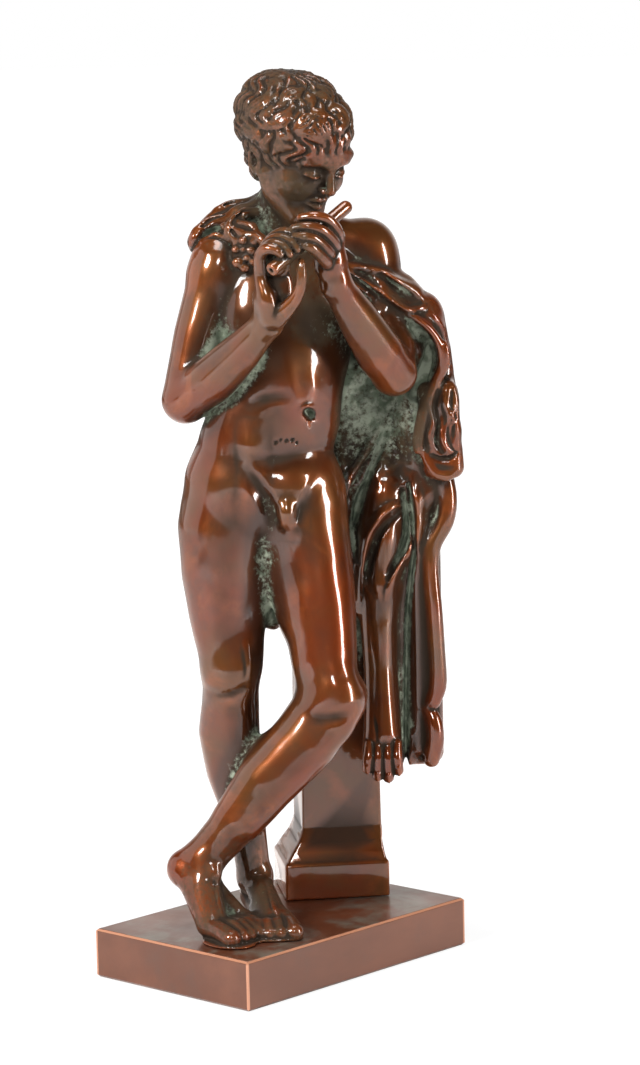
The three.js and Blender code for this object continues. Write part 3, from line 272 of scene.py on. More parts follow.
def tapered(x, y, z, a, b, ra, rb):
    """The distance to two balls and the cone that wraps them."""
    ba = b - a
    l2 = float(ba @ ba)
    rr = ra - rb
    a2 = l2 - rr * rr
    x, y, z = x - a[0], y - a[1], z - a[2]
    if a2 <= 0:
        if ra > rb:
            return np.sqrt(x * x + y * y + z * z) - ra
        return np.sqrt((x - ba[0]) ** 2 + (y - ba[1]) ** 2 + (z - ba[2]) ** 2) - rb
    along = x * ba[0] + y * ba[1] + z * ba[2]
    rest = along - l2
    square = x * x + y * y + z * z
    x2 = np.maximum(square * l2 - along * along, 0) * l2
    y2 = along * along * l2
    z2 = rest * rest * l2
    side = np.sign(rr) * rr * rr * x2
    body = (np.sqrt(x2 * a2 / l2) + along * rr) / l2 - ra
    end = np.sqrt(x2 + z2) / l2 - rb
    start = np.sqrt(x2 + y2) / l2 - ra
    distance = np.where(np.sign(along) * a2 * y2 < side, start, body)
    return np.where(np.sign(rest) * a2 * z2 > side, end, distance)


def torso(clay):
    turn = 23  # the way the hips face
    press(clay, [
        ([-2, -2, 163], [24, 16.5, 17.5], 6, turn, 0, 8),  # pelvis
        ([-10.4, -2, 171], [14.8, 14.4, 15.6], 6, turn, 0, 16),  # flank over the standing leg
        ([2.6, -4, 186], [21.6, 15, 21], 8, turn, 0, -4),  # belly
        ([5.5, -2.6, 199], [18.4, 15, 16], 6, 24),  # the arch of the ribs
        ([6.5, 1, 213], [23, 16.5, 23], 7, 27, 0, -6),  # ribcage
        ([9.6, 5, 231], [24.5, 13, 11.5], 6, 27, 0, 8),  # collar and shoulder blades
        ([0.4, -5.6, 222], [12.6, 6.4, 10], 11, 14, 4),  # right breast
        ([20, 0.2, 225.2], [12.4, 6.6, 10], 11, 42, 4),  # left breast
        ([-11, 10, 158], [12.4, 11.4, 13.6], 6, turn),  # buttocks
        ([6.4, 14.6, 155], [12, 11.4, 13.2], 6, turn),
        ([[-3, 15.5, 232], [3, 15.5, 205]], [8.4, 7.4], 8),  # back, either side of the spine
        ([[17.6, 22.6, 232], [12, 17.6, 205]], [8.4, 7.4], 8),
        ([3.4, -14, 200], [8, 3.6, 11], 8, 16, 0, -6),  # upper belly
        ([-12.4, -7.4, 180], [7, 6.4, 7], 9, 10),  # muscle over the hip
        ([5.3, -15, 163.5], [8, 5.4, 7], 6, 15),  # pubic mound
        ([4.6, -18.8, 155.4], [3.4, 3.8, 5], 2.5, 15),  # one plain swelling
    ])
    near, far = -32, 2
    # The grooves of the groin, the arch of the ribs and the line down the middle
    clay.strokes(near, far, [
        ([[-9, 172], [-5.4, 166], [-2, 160], [0.6, 153]], [-0.2, -1.6, -2.3, -1], 3.4, 4.2),
        ([[18.6, 172], [15.6, 166], [12.4, 160], [9.4, 154]], [-0.3, -1.2, -1.9, -1], 3.6, 3.4),
        ([[-5.4, 187], [-6.4, 178], [-6, 169], [-7.4, 158], [-8.4, 144]], [0.2, 1.6, 1.7, 1.2, 0.2], 7, 5.6),
        ([[-9, 197], [-2, 204.4], [5.6, 207], [14, 204], [20, 196]], [-0.1, -0.5, -0.2, -0.5, -0.1], 5, 6),
        ([[9.6, 206], [11, 197], [12.4, 190]], [-0.1, -0.5, -0.2], 4, 4),
        ([[-6, 190.4], [-1, 193], [5, 193.6]], [-0.2, -0.6, -0.2], 3, 3),
        ([[-12, 176], [-4, 173], [3, 172.6], [11, 174]], [0, -0.6, -0.6, 0], 3, 4),
        # The navel, squarish, with a lid over it
        ([[12.3, 187.9], [13.2, 187.2], [13.3, 186.6]], [-2.6, -3.2, -2.4], 1.9, 1.9, 6),
        ([[10.6, 188.6], [12.4, 189.9], [14.6, 189.4]], [0.2, 0.7, 0.2], 1.1, 1.2, 8),
    ])
    # A row of small pits in the casting: places and sizes
    pits = [(1.6, 178.2, 0.7), (3.2, 179, 0.5), (5.2, 178.6, 0.6), (7, 178.8, 0.8), (8.4, 177.8, 0.5)]
    for x, z, size in pits:
        clay.stroke([[x, z], [x + 0.3, z + 0.4]], [-0.8, -0.8], size * 0.8, size * 0.8, near, far, 2)


def legs(clay):
    # The standing leg
    press(clay, [
        ([[-13.2, -2, 161], [-15.8, -3, 149], [-17, -5, 134], [-17.2, -7, 116], [-15.2, -7.5, 101]],
         [16, 15.6, 13.7, 10.4, 9.2], 5),
        ([[-15.2, -7.5, 101], [-15.6, -4.5, 90], [-16.3, -2.5, 80], [-15.3, -2.4, 67], [-11, -3, 47],
         [-9.2, -3.5, 31]], [9.2, 9.6, 10.2, 9, 6.2, 5.6], 3),
        ([-14.6, -12, 102], [5.6, 4.2, 7], 7),  # kneecap
        ([-8.6, -8.6, 112], [4.2, 5, 9], 6),  # the muscle over the knee
        ([-7.4, -4, 128], [6, 8, 14], 5),  # the inner thigh
        ([[-14, -10.4, 92], [-10, -7.4, 50]], [4.4, 2.8], 6),  # shin bone
    ])
    clay.strokes(-30, 0, [
        ([[-24, 97], [-18.6, 94.6], [-12, 96.6], [-8, 99]], [-0.1, -0.6, -0.5, -0.1], 2.2, 3),
        ([[-9.6, 112], [-8.4, 105], [-8.8, 98]], [0.2, 0.8, 0.3], 2, 2),
    ])
    # The crossed leg
    press(clay, [
        ([[9, -2, 160], [13.6, -7, 138], [14.6, -11, 122], [15.8, -15.5, 105], [17.4, -17.5, 93]],
         [15.4, 12.2, 12, 10.7, 9.9], 5),
        ([[12, -10, 146], [14.6, -13.6, 128], [17, -18.4, 108]], [8, 8.4, 6.4], 7),
        ([[3.6, -3, 152], [6, -6, 136], [9.4, -10.4, 119]], [9.4, 9, 7.4], 5),  # its inner side
        ([[17.4, -17.5, 93], [9, -18.5, 79.5], [-4, -19, 66.5], [-15.5, -19.5, 51.5], [-23.2, -20, 41]],
         [9.9, 11, 9.9, 7.8, 5.6], 3),
        ([20.2, -23.4, 94.5], [6, 5, 8], 8, 18, 14),  # kneecap
        ([[25.6, -16, 94.4], [22, -24.4, 89.4]], [2.6, 2.6], 7),  # the sharp bend of the knee
        ([[19, -25.2, 84], [-10, -24.4, 52]], [4.6, 3], 5),  # shin bone
        ([-0.6, -12.5, 71.5], [9, 7.4, 10.4], 5, 0, 0, 40),  # calf
    ])
    clay.strokes(-44, -14, [
        ([[8, 89], [15, 88.6], [21, 89.4], [26, 91.6]], [0, -0.3, -0.5, -0.2], 3, 3.4),
        ([[17, 103], [22, 102], [26, 103]], [-0.1, -0.4, -0.1], 3, 3),
    ])
    # The metal left between the thighs
    clay.roll([[-1.4, 2, 152], [-1.2, 1, 134], [-0.6, 0, 116]], [6.4, 5, 2.6], blend=4)


def feet(clay):
    # Right foot, flat
    press(clay, [
        ([[-9.2, 1.4, 22.6], [-9.2, -1, 31]], [5, 4.6], 3),
        ([[-8, -5, 28], [-5, -16, 24.4], [-2.9, -27, 21.4]], [4.8, 4.6, 3.7], 3),
        ([[-9, -3, 20.6], [-7.4, -27, 20]], [3.2, 2.8], 3),
        ([[-6.5, -3, 20.8], [0.6, -27, 20.6]], [3.2, 3.4], 3),
        ([-5.4, -4.6, 31.4], [1.8, 2.4, 2.4], 3),  # ankle bones
        ([-12.4, -2.6, 29.4], [1.6, 2.2, 2.4], 3),
    ])
    clay.stroke([[-4.6, 31], [-2.6, 26], [-0.4, 22.8]], [0.1, 0.7, 0.3], 1, 1, -44, -4)
    toes(clay, [-2.9, -28.5, 19.6], [0.22, -0.97, 0], [0.97, 0.22, 0], 9, 0.6)
    # Left foot, on its toes
    press(clay, [
        ([-32.2, -18, 36.6], [5.6, 5.2, 5.4], 4, 30, 0, 20),
        ([[-31, -18, 39], [-22, -18.5, 47]], [4, 4.2], 4),
        ([[-25.5, -20.5, 40], [-25, -25, 32], [-21.5, -32, 23]], [5, 4.6, 3.8], 4),
        ([[-31, -20, 35], [-24, -33.5, 22]], [3.6, 3.8], 4),
        ([[-26, -17, 34], [-13.4, -26, 22]], [3.4, 3], 4),
        ([-21.6, -25.6, 37], [1.9, 2, 2.4], 3),  # inner ankle
    ])
    clay.stroke([[-20.6, 36], [-20.2, 30], [-18.4, 24]], [0.2, 0.6, 0.2], 1.1, 1.1, -50, -10)
    toes(clay, [-18.2, -33.5, 20.4], [0.6, -0.8, 0], [-0.8, -0.6, 0], 10.5, 0.8)


def ground(clay):
    """The low pads of metal under the feet."""
    press(clay, [
        ([-17, -39, FLOOR - 0.8], [13.5, 10.5, 2], 1.2, -50),
        ([-3, -34, FLOOR - 0.8], [11, 8, 1.9], 1.2, -10),
    ])


def arms(clay):
    press(clay, [
        ([-16.2, -2.5, 234.5], [9.6, 10, 11.4], 4, 0, 0, 14),
        ([[-17.4, -3.5, 230], [-22.8, -6, 213], [-27, -8.5, 196], [-27.8, -9.5, 192]],
         [8.8, 8.2, 7.4, 7.1], 3),
        ([[-27.8, -9.5, 192], [-18, -17, 199.5], [-9.5, -24, 208], [0.2, -32.5, 218.5]],
         [7.1, 7.9, 6.6, 4.8], 2),
        ([33.8, 17.5, 236.4], [10, 10.4, 12.2], 4, 0, 0, -12),
        ([[35, 15.5, 231], [40, 5, 214], [41, -5, 199.5]], [9, 8.3, 7.3], 3),
        ([[41, -6, 198.8], [36.3, -12, 206.5], [29.6, -20.5, 218], [22.4, -29.5, 230.5]],
         [7.2, 7.9, 6.7, 4.6], 2),
    ])


def hands(clay):
    # Left hand: the back, four fingers laid over the pipe, the thumb under it
    press(clay, [
        ([[22.4, -29.5, 230.5], [21.6, -31, 237.5]], [4.4, 4.8], 3),
        ([[22.6, -30.6, 245.6], [21.6, -31.4, 241.4], [19.4, -32.4, 236.4]], [3.2, 3.6, 3.8], 2.5, 6),
    ])
    left = [
        [[23.4, -31.6, 244.6], [22.8, -36.4, 248.2], [20.2, -39.4, 251.6], [16, -40.6, 252.8],
         [11.6, -40, 252.4]],
        [[22.6, -32.4, 241.6], [21.6, -37.4, 244.8], [18.6, -41.4, 248.2], [14, -43, 249.6],
         [9.4, -42.4, 249.4]],
        [[21.2, -33, 239.2], [19.8, -39, 241.8], [16.8, -43, 245.2], [13.2, -44.8, 246.6],
         [9.8, -44.6, 246.8]],
        [[20.2, -33.4, 236.8], [19, -38.6, 238.6], [16.8, -42.8, 241.4], [14.4, -44.8, 243.4],
         [11.6, -45, 244.4]],
    ]
    for finger in left:
        clay.curl(finger, [1.9, 2.1, 1.75, 1.7, 1.3], 14, blend=0.5)
    press(clay, [
        ([[19.5, -31, 238], [16.4, -34.4, 243], [15, -37, 248]], [2.7, 2.3, 1.8], 1.2, 8),
        # Right hand: the palm turned to the pipe, the fingers hooked over it, the thumb up its near side
        ([[0.4, -33.4, 219], [0.2, -37, 227]], [4.5, 4.6], 3),
        ([[1.4, -38.4, 221], [0.4, -40.4, 226.6], [-1.2, -39.6, 232.6], [-1.6, -39.4, 237.6]],
         [3.4, 3.1, 2.3, 2.1], 1.6, 10),
    ])
    right = [
        ([[-1.6, -40.6, 236.6], [-1.4, -43.6, 240.8], [0.6, -46.6, 243.2], [3.6, -48, 242.8],
         [5, -48.4, 241.4]], [1.9, 2, 1.9, 1.6, 1.2]),
        ([[-1.2, -39, 237.4], [-0.6, -42.4, 242], [2.4, -45.4, 244.6], [6, -47, 243.8], [8, -47.6, 241.4]],
         [2, 1.9, 1.8, 1.6, 1.2]),
        ([[-1, -37.4, 238.4], [0.4, -40.6, 243.8], [4, -43.6, 246.4], [8, -45.4, 245.4],
         [10.4, -46.2, 242.8]], [2, 1.9, 1.7, 1.6, 1.2]),
        ([[-0.6, -35.6, 238.6], [1.4, -38.4, 245], [5.4, -41, 248], [9, -42.8, 247.6], [11, -44, 245.6]],
         [1.9, 1.8, 1.7, 1.5, 1.2]),
    ]
    for finger, thick in right:
        clay.curl(finger, thick, 14, blend=0.45)
    press(clay, [
        ([4, -38.6, 238], [4.4, 2.6, 4.4], 1),
        ([4.4, -36.4, 229.8], [4.6, 2.4, 7.4], 1.2),
        ([[3, -38, 220.4], [6.6, -41, 223.8], [10, -43, 228], [11.4, -44.6, 232.4], [11.6, -44.8, 236.4],
         [11.6, -44.6, 239]], [3.4, 2.7, 1.9, 1.7, 1.6, 1.1], 1, 14),
    ])


def head_and_face(clay):
    press(clay, [
        ([[5, 7, 236], [7, 4, 248], [9, 0, 260]], [10.4, 9.8, 10], 5),  # neck
        ([[3, 8, 253], [-9, 4, 243.4]], [7.4, 6.4], 5),  # from the neck to the shoulders
        ([[12, 6, 246], [24, 11, 242.6], [33, 16, 239]], [7, 7, 7.4], 5),
        ([[5.4, 0.6, 262], [7, -5.4, 252], [9.6, -9.4, 244]], [1.6, 2.2, 1.6], 2.5, 8),  # neck muscle
    ])
    head = HeadFrame(clay)
    press(head, [
        ([0, 2.5, 4.5], [12.6, 15.6, 13.2], 4),  # skull
        ([0, -4, -3.6], [10.6, 10.2, 13.2], 5),  # face
        ([0, -9.6, -14.6], [4.6, 4.2, 3.4], 3.5),  # chin
        *(([[side * 10, -0.5, -6.5], [side * 8, -3, -11], [side * 3.6, -9, -15]], [2.2, 2.4, 2.4], 4)
          for side in (1, -1)),  # jaw
        ([0, -12.4, 4], [8.8, 2.2, 3], 3),  # forehead
        ([[0, -13.6, 1.6], [0, -15.3, -2], [0, -16.7, -4.8]], [1.2, 1.15, 1.4], 1.6),  # nose
    ])
    for side in (-1, 1):
        press(head, [
            ([[side * 1.6, -14.2, 1.6], [side * 4.6, -13.8, 2.7], [side * 8, -11.8, 1.6]],
             [0.7, 0.9, 0.6], 1.6, 8),  # the edge of the brow
            ([side * 4.9, -14.9, -0.6], [3, 2.1, 1.7], -1.6),  # eye hollow
            ([side * 4.7, -11.8, -1], [2.7, 2, 1.6], 0.6),  # eyeball
            ([[side * 2.4, -13.5, -1.5], [side * 4.8, -14.1, -1.9], [side * 7.4, -12.5, -1.3]],
             [0.3, 0.5, 0.3], 0.35, 8),  # the lowered lid
            ([[side * 2.6, -13.6, -2.3], [side * 4.8, -13.8, -2.8], [side * 7.2, -12.3, -2.1]],
             [0.25, 0.35, 0.25], -0.4, 8),
            ([side * 1.5, -15.2, -5.4], [0.9, 1.3, 0.9], 0.6),  # wing of the nose
            ([side * 6.6, -8.4, -5.6], [3.8, 3.6, 3.2], 4),  # cheek
            ([[side * 2.4, -15.2, -6.2], [side * 4, -13.2, -9.4]], [0.3, 0.3], -1.4),
        ])
        ear = side * 11.2
        press(head, [
            ([ear, 2.4, -4.4], [1.7, 2.6, 4], 1),  # ear
            ([[ear + side * 0.6, 0.2, -7.4], [ear + side * 1.2, 0.8, -3.2], [ear + side * 1.6, 2.6, -1],
             [ear + side * 1.8, 4.4, -2.6], [ear + side * 1, 3.6, -6.6]], [0.6, 0.7, 0.75, 0.7, 0.6],
             0.35, 12),
            ([ear + side * 1.4, 2.3, -4.4], [1, 0.9, 1.8], -0.6),
        ])
    press(head, [
        ([0, -14.4, -5.3], [1.1, 1.2, 0.6], 0.6),
        ([[-3.4, -12.2, -9.4], [-1.2, -14, -8.5], [0, -13.9, -8.8], [1.2, -14, -8.5], [3.4, -12.2, -9.4]],
         [0.4, 0.95, 0.85, 0.95, 0.4], 0.8, 12),  # lips
        ([[-3, -12.2, -10.2], [0, -13.6, -10.9], [3, -12.2, -10.2]], [0.5, 1.15, 0.5], 0.8, 8),
        ([[-3.6, -12.6, -9.6], [0, -15, -9.8], [3.6, -12.6, -9.6]], [0.2, 0.25, 0.2], -0.4, 8),
    ])


def pelt_on_shoulder(clay):
    """The skin's edge over the right shoulder: tongues that stand off it, and a tuft on the chest."""
    # The slab of skin over the shoulder
    clay.curl([[-4, 8, 250], [-12, 7, 250], [-18, 6, 247.6], [-21.6, 4, 243.4]], [3.6, 4.2, 4, 3],
              10, blend=2)
    tongues = [
        ([[-6, 7, 254.4], [-11, 6.6, 254.2], [-15.6, 6, 252.2], [-19, 5, 249]], [1.6, 2.2, 2.2, 1.4]),
        ([[-4.4, 1, 253.4], [-9, 2, 252.8], [-12.4, 2, 250], [-17.6, 1.6, 249.4], [-21, 0.4, 247.4],
         [-23, -0.4, 245], [-23.8, -0.6, 242.6]], [1.4, 2.1, 2.4, 2.1, 2.1, 2.3, 1.8]),
        ([[-20, 3, 246], [-23.4, 2, 243.6], [-24, 1, 241]], [2.4, 2.6, 1.4]),
        ([[-3.6, -3.6, 252.6], [-6.8, -4.4, 252.2], [-9.4, -5.6, 250.2], [-11.6, -7.4, 248],
         [-10.6, -9, 246.6]], [1.2, 2.1, 2.2, 1.9, 1.1]),
        ([[-10, -5, 250], [-7.4, -8, 249.2], [-4.6, -10.4, 248.4], [-2.2, -12.6, 246]], [1, 1.7, 1.8, 1]),
        ([[-11.6, -8, 247.4], [-8.6, -10, 247], [-5.6, -12, 246], [-4, -13.4, 243.8]], [1, 1.6, 1.7, 1]),
        ([[-7.2, -11.6, 245.8], [-3.4, -13.4, 245.8], [-0.8, -15, 244], [0.4, -15.6, 241.6]],
         [1, 1.6, 1.8, 1.2]),
        ([[-13.4, -4, 248.4], [-12, -8, 246.2], [-9.6, -11, 243.4]], [1.4, 1.3, 1]),
    ]
    for tongue, thick in tongues:
        clay.curl(tongue, thick, 14, blend=0.7)
        first = np.array(tongue[0])
        groove = np.array(tongue) + [0.7, -0.9, 1.5]
        clay.curl(groove * 0.96 + first * 0.04, [0.3, 0.5, 0.5, 0.2], 12, blend=0.8, cut=True)
    clay.curl([[-20.8, -3, 243.2], [-16.8, -5.4, 245.4], [-13, -7.6, 244.4], [-10, -10, 242.4]],
              [0.9, 1.1, 1.1, 0.8], 10, blend=0.6)
    clay.grain([-27, -16, 238], [0, 12, 258], [2.6, 1, 1], 0.2, 13)
    # The tuft: a dark plaque set with lumps
    clay.egg([-6.6, -11.4, 240.2], [4.6, 3, 6], roll=10, blend=1.6)
    lumps = [
        (-7.2, 244, 1.6), (-3.6, 243.8, 1.8), (-9.8, 241.2, 1.4), (-4.9, 240.8, 1.7), (-9, 237, 2.1),
        (-7, 235.2, 1.7), (-6.2, 238.4, 1.4), (-4.4, 237, 1.4), (-7.4, 241.2, 1.1),
    ]
    for x, z, size in lumps:
        clay.egg([x, -13.8 - 0.1 * (241 - z), z], [size, 1.5, size * 0.9], blend=0.5)


def pelt_behind(clay):
    """Across the back, over the pillar's top and down its back."""
    press(clay, [
        ([[-18, 8, 243], [-13, 16, 235], [2, 24, 221], [20, 29, 206]], [4.4, 6, 8, 9], 4, 10),
        ([[20, 29, 206], [40, 24, 192]], [9, 9], 5),
        ([[10, 26, 220], [36, 25, 206]], [6, 8], 5),
        ([17.5, 33, 172], [17.5, 15.5, 7.5], 4, PILLAR_TURN),
    ])
    clay.block([17.6, 44.8, 146], [13.2, 3.6, 32], turn=PILLAR_TURN, round=3.4, blend=4)
    for x, y, low in [[7, 46.4, 118], [14, 48.8, 108], [21.4, 48.6, 112], [28, 49, 104]]:
        clay.roll([[x + 2, y - 4, 174], [x, y, 156], [x - 0.6, y, low]], [3.4, 2.8, 2.2], blend=2.6)
    clay.roll([[38, 30, 184], [42, 28, 140], [44, 25, 76]], [7, 5.4, 4.4], blend=5)


def pelt_over_arm(clay):
    """The folds over the left upper arm, and the hem that curves down to the hanging lobe."""
    press(clay, [
        ([[26, 5, 229.6], [38, 4.6, 226.4], [47, 8, 221.4]], [3.6, 4.6, 5.2], 2.5),
        ([[28, 4.6, 223], [40, 4.8, 219.6], [49, 7.6, 214]], [2.6, 4.4, 5.4], 2.5),
        ([50.4, 12, 212], [8, 8.6, 12], 3, 0, 0, 14),
        ([[50, 13, 220], [55.2, 12.4, 205], [57.4, 13, 188]], [4, 5, 5.2], 3),
        ([[46, 15, 206], [47, 18, 178]], [7, 7.4], 3),
        # The hem
        ([[30.5, 2.6, 223.5], [39.6, 1.4, 220.2], [46.6, 1, 216.8], [52.6, 2.4, 212.2], [56.4, 3.6, 206],
         [57.2, 4.2, 200.4], [55, 4, 195.4], [52.4, 3.6, 190.4]],
         [1.2, 1.7, 1.9, 2.1, 2.3, 2.3, 2, 1.7], 1.6, 26),
    ])
    near, far = -6, 16
    # Folds that fan out from the wrist
    clay.strokes(near, far, [
        ([[25, 235.2], [31, 234.4], [38, 232.4], [43, 229.6], [50, 226.4]], [0.8, 1.6, 1.8, 1.8, 0.6],
         1.0, 3.0),
        ([[25.5, 233.6], [33, 228.4], [37.5, 225], [42, 221.6]], [0.6, 1.4, 1.3, 0.5], 1.4, 1.7),
        ([[25.5, 230.8], [30, 227.4], [34.6, 223.6]], [0.6, 1.3, 0.6], 1.2, 1.5),
        ([[26, 232.2], [31.6, 228.4], [36.5, 224.2]], [-0.6, -1.4, -0.6], 0.9, 0.9),
        ([[29, 231.6], [35.4, 228.6], [38, 226.4]], [-0.5, -1.3, -0.4], 1.5, 1.0),
    ])
    # The shell-shaped pocket and its lower lip
    clay.egg([43, 11, 225], [7, 6, 6], blend=3)
    clay.stroke([[37.6, 230.6], [41, 227.6], [45, 224.2], [49.6, 221.6]], [-0.9, -2.2, -2.4, -0.8], 2.2,
                2.4, near, 9)
    clay.stroke([[36, 229.2], [38.6, 225.4], [42, 222.2], [46.4, 219.6], [51.4, 219.8]],
                [0.4, 1.4, 1.6, 1.6, 0.6], 1.3, 1.8, near, far)
    # The hollow inside the hem
    clay.stroke([[40.6, 218], [47, 214], [52, 208.6], [53.2, 202.4], [51, 196.4], [48.6, 190]],
                [-0.5, -2.2, -4, -5, -4.6, -3], 3.0, 3.4, near, 12)
    clay.stroke([[54, 218.4], [57.8, 213], [59.4, 206], [60.4, 198]], [0.4, 0.8, 0.8, 0.3], 1.6, 1.6,
                near, far)


def pelt_lobe(clay):
    """The stiff lobe at the skin's outer edge: a smooth rolled rim round combed tufts."""
    clay.block([56.4, 7, 178.6], [6.8, 4.2, 16.4], roll=-4, round=3.6, blend=2)
    press(clay, [
        ([[54.6, 4.6, 194], [51.8, 3.6, 188.6], [50, 3, 182], [48.8, 3, 176], [48.8, 3.4, 172.6]],
         [1.6, 1.9, 2, 2, 1.7], 1.4, 12),
        ([[50.4, 4, 171.6], [52.4, 3.6, 167.4], [54.6, 3.4, 164.4], [58, 3.6, 163.6], [61, 4.8, 164.6]],
         [1.3, 1.7, 1.9, 2, 1.6], 1.2, 12),
    ])
    near, far = -3, 14
    clay.stroke([[55.6, 192], [54.6, 186], [55.4, 180], [55.2, 174], [57.6, 170]],
                [-0.5, -1.0, -0.8, -1.1, -0.5], 1.1, 1.3, near, far)
    tufts = [
        ([[58.6, 194], [58, 188], [59.4, 183], [58, 177.6]], 1.0),
        ([[61.4, 190], [60.8, 184], [62, 178.6], [61, 173]], 1.1),
        ([[53.4, 186.4], [53.8, 181], [52.6, 176.6], [54.4, 173]], 1.0),
        ([[57, 182], [56.6, 177], [58, 173.4], [60, 171.6]], 1.2),
    ]
    for path, height in tufts:
        clay.strokes(near, far, [
            (path, [0.2, height, height, 0.2], 2.4, 1.5),
            ([[x + 0.7, z] for x, z in path], [0, -0.4, -0.4, 0], 0.5, 0.5),
            ([[x + 1.9, z - 0.6] for x, z in path], [-0.2, -0.7, -0.7, -0.1], 0.7, 0.7),
        ])
    clay.strokes(near, far, [
        ([[53.6, 170.6], [56.4, 169.4], [59.4, 169.8], [61.6, 171.4]], [-0.6, -1.5, -1.6, -0.6], 0.9, 1.2),
        ([[60, 196], [62.4, 188], [63.2, 180], [62.2, 171]], [0.2, 0.6, 0.3, 0.4], 1.2, 1.4),
    ])


def pelt_front(clay):
    """Down the front of the pillar: hollowed ground above, then a flap, a leg of the skin and its border."""
    press(clay, [
        ([[36, 23, 194], [39, 22, 166], [38, 21, 110]], [8.6, 10, 8.6], 5),
        ([[27, 23, 192], [26, 24, 150]], [8, 7], 5),
    ])
    clay.block([47, 18.4, 113], [9, 5.8, 50], turn=4, round=4.6, blend=3)
    press(clay, [
        ([[38.6, 16, 168], [37.5, 14.6, 156], [35.6, 14, 142], [35, 13.6, 126]], [4.4, 6.4, 7.6, 7.2], 3),
        ([[24.6, 16, 164], [24, 16.6, 152], [26.6, 16, 136], [28.4, 15.6, 118]], [2.6, 3.4, 3, 3], 3),
        # The border
        ([[57, 13, 166], [58.6, 12.6, 155], [57.4, 12, 147], [53.4, 11.6, 139], [52.6, 11, 130],
         [53.4, 10.6, 117], [54, 10.6, 103], [54.2, 10.6, 92], [52.6, 10.6, 86]],
         [3, 3.2, 3.2, 2.8, 2.6, 2.8, 2.9, 3.1, 2.6], 2.4, 28),
        ([[51, 11.4, 83], [52.6, 10.6, 78.6], [52.9, 10.4, 72], [51.6, 10.8, 66]], [2.2, 3, 3.1, 2.8],
         1.2, 10),
        ([[44, 13.4, 74], [43.6, 14, 66]], [2.4, 2.4], 2),
    ])
    clay.block([48.8, 13.6, 112], [3.6, 3.2, 45], turn=4, round=2.6, blend=2.4)
    clay.roll([[48, 17, 180], [50, 17, 158]], [7, 7], blend=4)
    near, far = 2, 22
    # The hammered ground between the body and the folds
    clay.block([34.6, 20.6, 180], [13.4, 5.6, 21], turn=6, round=3, blend=5)
    clay.stroke([[38, 198], [37, 186], [38, 176], [41, 166]], [-0.6, -2, -1.6, -0.6], 9, 9, near, far)
    clay.grain([24, 2, 156], [50, 24, 202], [1.3, 1.3, 1.3], 0.28, 11)
    clay.grain([24, 2, 156], [50, 24, 202], [3.1, 3.1, 3.6], 0.45, 12)
    # The long fold off the ground and the channel beside it
    clay.strokes(near, far, [
        ([[38, 181], [34, 175], [30.6, 169.6], [27, 164], [23.6, 158], [23, 150], [26, 137]],
         [0.6, 2, 2.4, 2.4, 1.8, 1.2, 0.6], 2.2, 2.4),
        ([[38.6, 177.6], [35.6, 170.5], [32.2, 162.6], [28.6, 153.6], [26.6, 145], [28, 134]],
         [-0.8, -2, -2.2, -2, -1.6, -0.8], 1.8, 1.6),
        # The flap's rolled left edge, and the hollow inside it
        ([[43, 153.4], [39.8, 152.4], [37, 150.6], [34.4, 147.6], [31.8, 143.6], [30, 137.6], [28.8, 129.6],
         [28.2, 121], [28.6, 112]], [0.5, 1.5, 2, 2, 1.8, 1.6, 1.4, 1.1, 0.4], 1.5, 2.8, 36),
        ([[42.2, 150.4], [38.6, 147.6], [35.4, 143.6], [33.4, 138], [32, 132], [32.2, 126], [34.4, 120]],
         [-0.8, -1.6, -2.4, -2.6, -2.4, -1.8, -0.6], 1.6, 2.2, 30),
        # The flap that falls from the right, and the crevice beside it
        ([[46.4, 160], [48, 154], [48.4, 148], [47.6, 142.6], [45.2, 137.6], [42, 133], [39.4, 128.4],
         [37.8, 124], [37.6, 119]], [0.5, 1.6, 2.2, 2.3, 2.1, 1.9, 1.5, 0.9, 0.2], 3.2, 1.4, 36),
        ([[43.6, 158], [44.6, 150], [44.4, 143], [42.4, 137.4], [39.6, 133], [37.4, 129]],
         [-1, -2.6, -3, -2.4, -1.6, -0.6], 1.5, 1.7, 30),
        # The channel between the leg and the border
        ([[45.6, 160], [46.6, 148], [47, 139], [45.8, 128], [44.6, 117], [44, 104], [43.4, 86], [43, 62]],
         [-1.4, -2.4, -2.8, -3, -3, -3, -3, -3], 1.15, 1.15, 40),
    ])


def pelt_paw(clay):
    """A leg of the skin with its paw, down the front."""
    press(clay, [
        ([[35, 13.4, 126], [34.6, 12.6, 112], [35, 12, 98], [35.2, 11, 86], [35.2, 9.6, 76]],
         [7, 6.2, 5.8, 6, 6.4], 2.4),
        ([35, 8, 70.6], [6.8, 5, 7.4], 2),
    ])
    for x, low, lean in ((30.2, 62.8, -0.4), (33.3, 60.2, -0.1), (36.6, 59.6, 0.2), (39.6, 62, 0.5)):
        press(clay, [
            ([[x + 0.3, 5, 73], [x, 3.2, 68.6], [x + lean, 3.4, low + 2]], [1.6, 2, 1.9], 0.5, 8),
            ([[x + lean, 1.8, low + 3], [x + lean * 1.6, 2, low + 0.6]], [0.9, 0.5], 0.4, 4),
        ])
    near, far = -2, 14
    clay.strokes(near, far, [
        ([[36, 112], [35.4, 98], [36.2, 86], [37, 76]], [0.3, 0.6, 0.6, 0.3], 3.8, 3.8),
        ([[32.2, 84], [33, 79], [33.4, 74]], [-0.1, -0.6, -0.2], 1.3, 1.3),
    ])


def pelt(clay):
    for part in (pelt_behind, pelt_on_shoulder, pelt_over_arm, pelt_front, pelt_lobe, pelt_paw):
        part(clay)


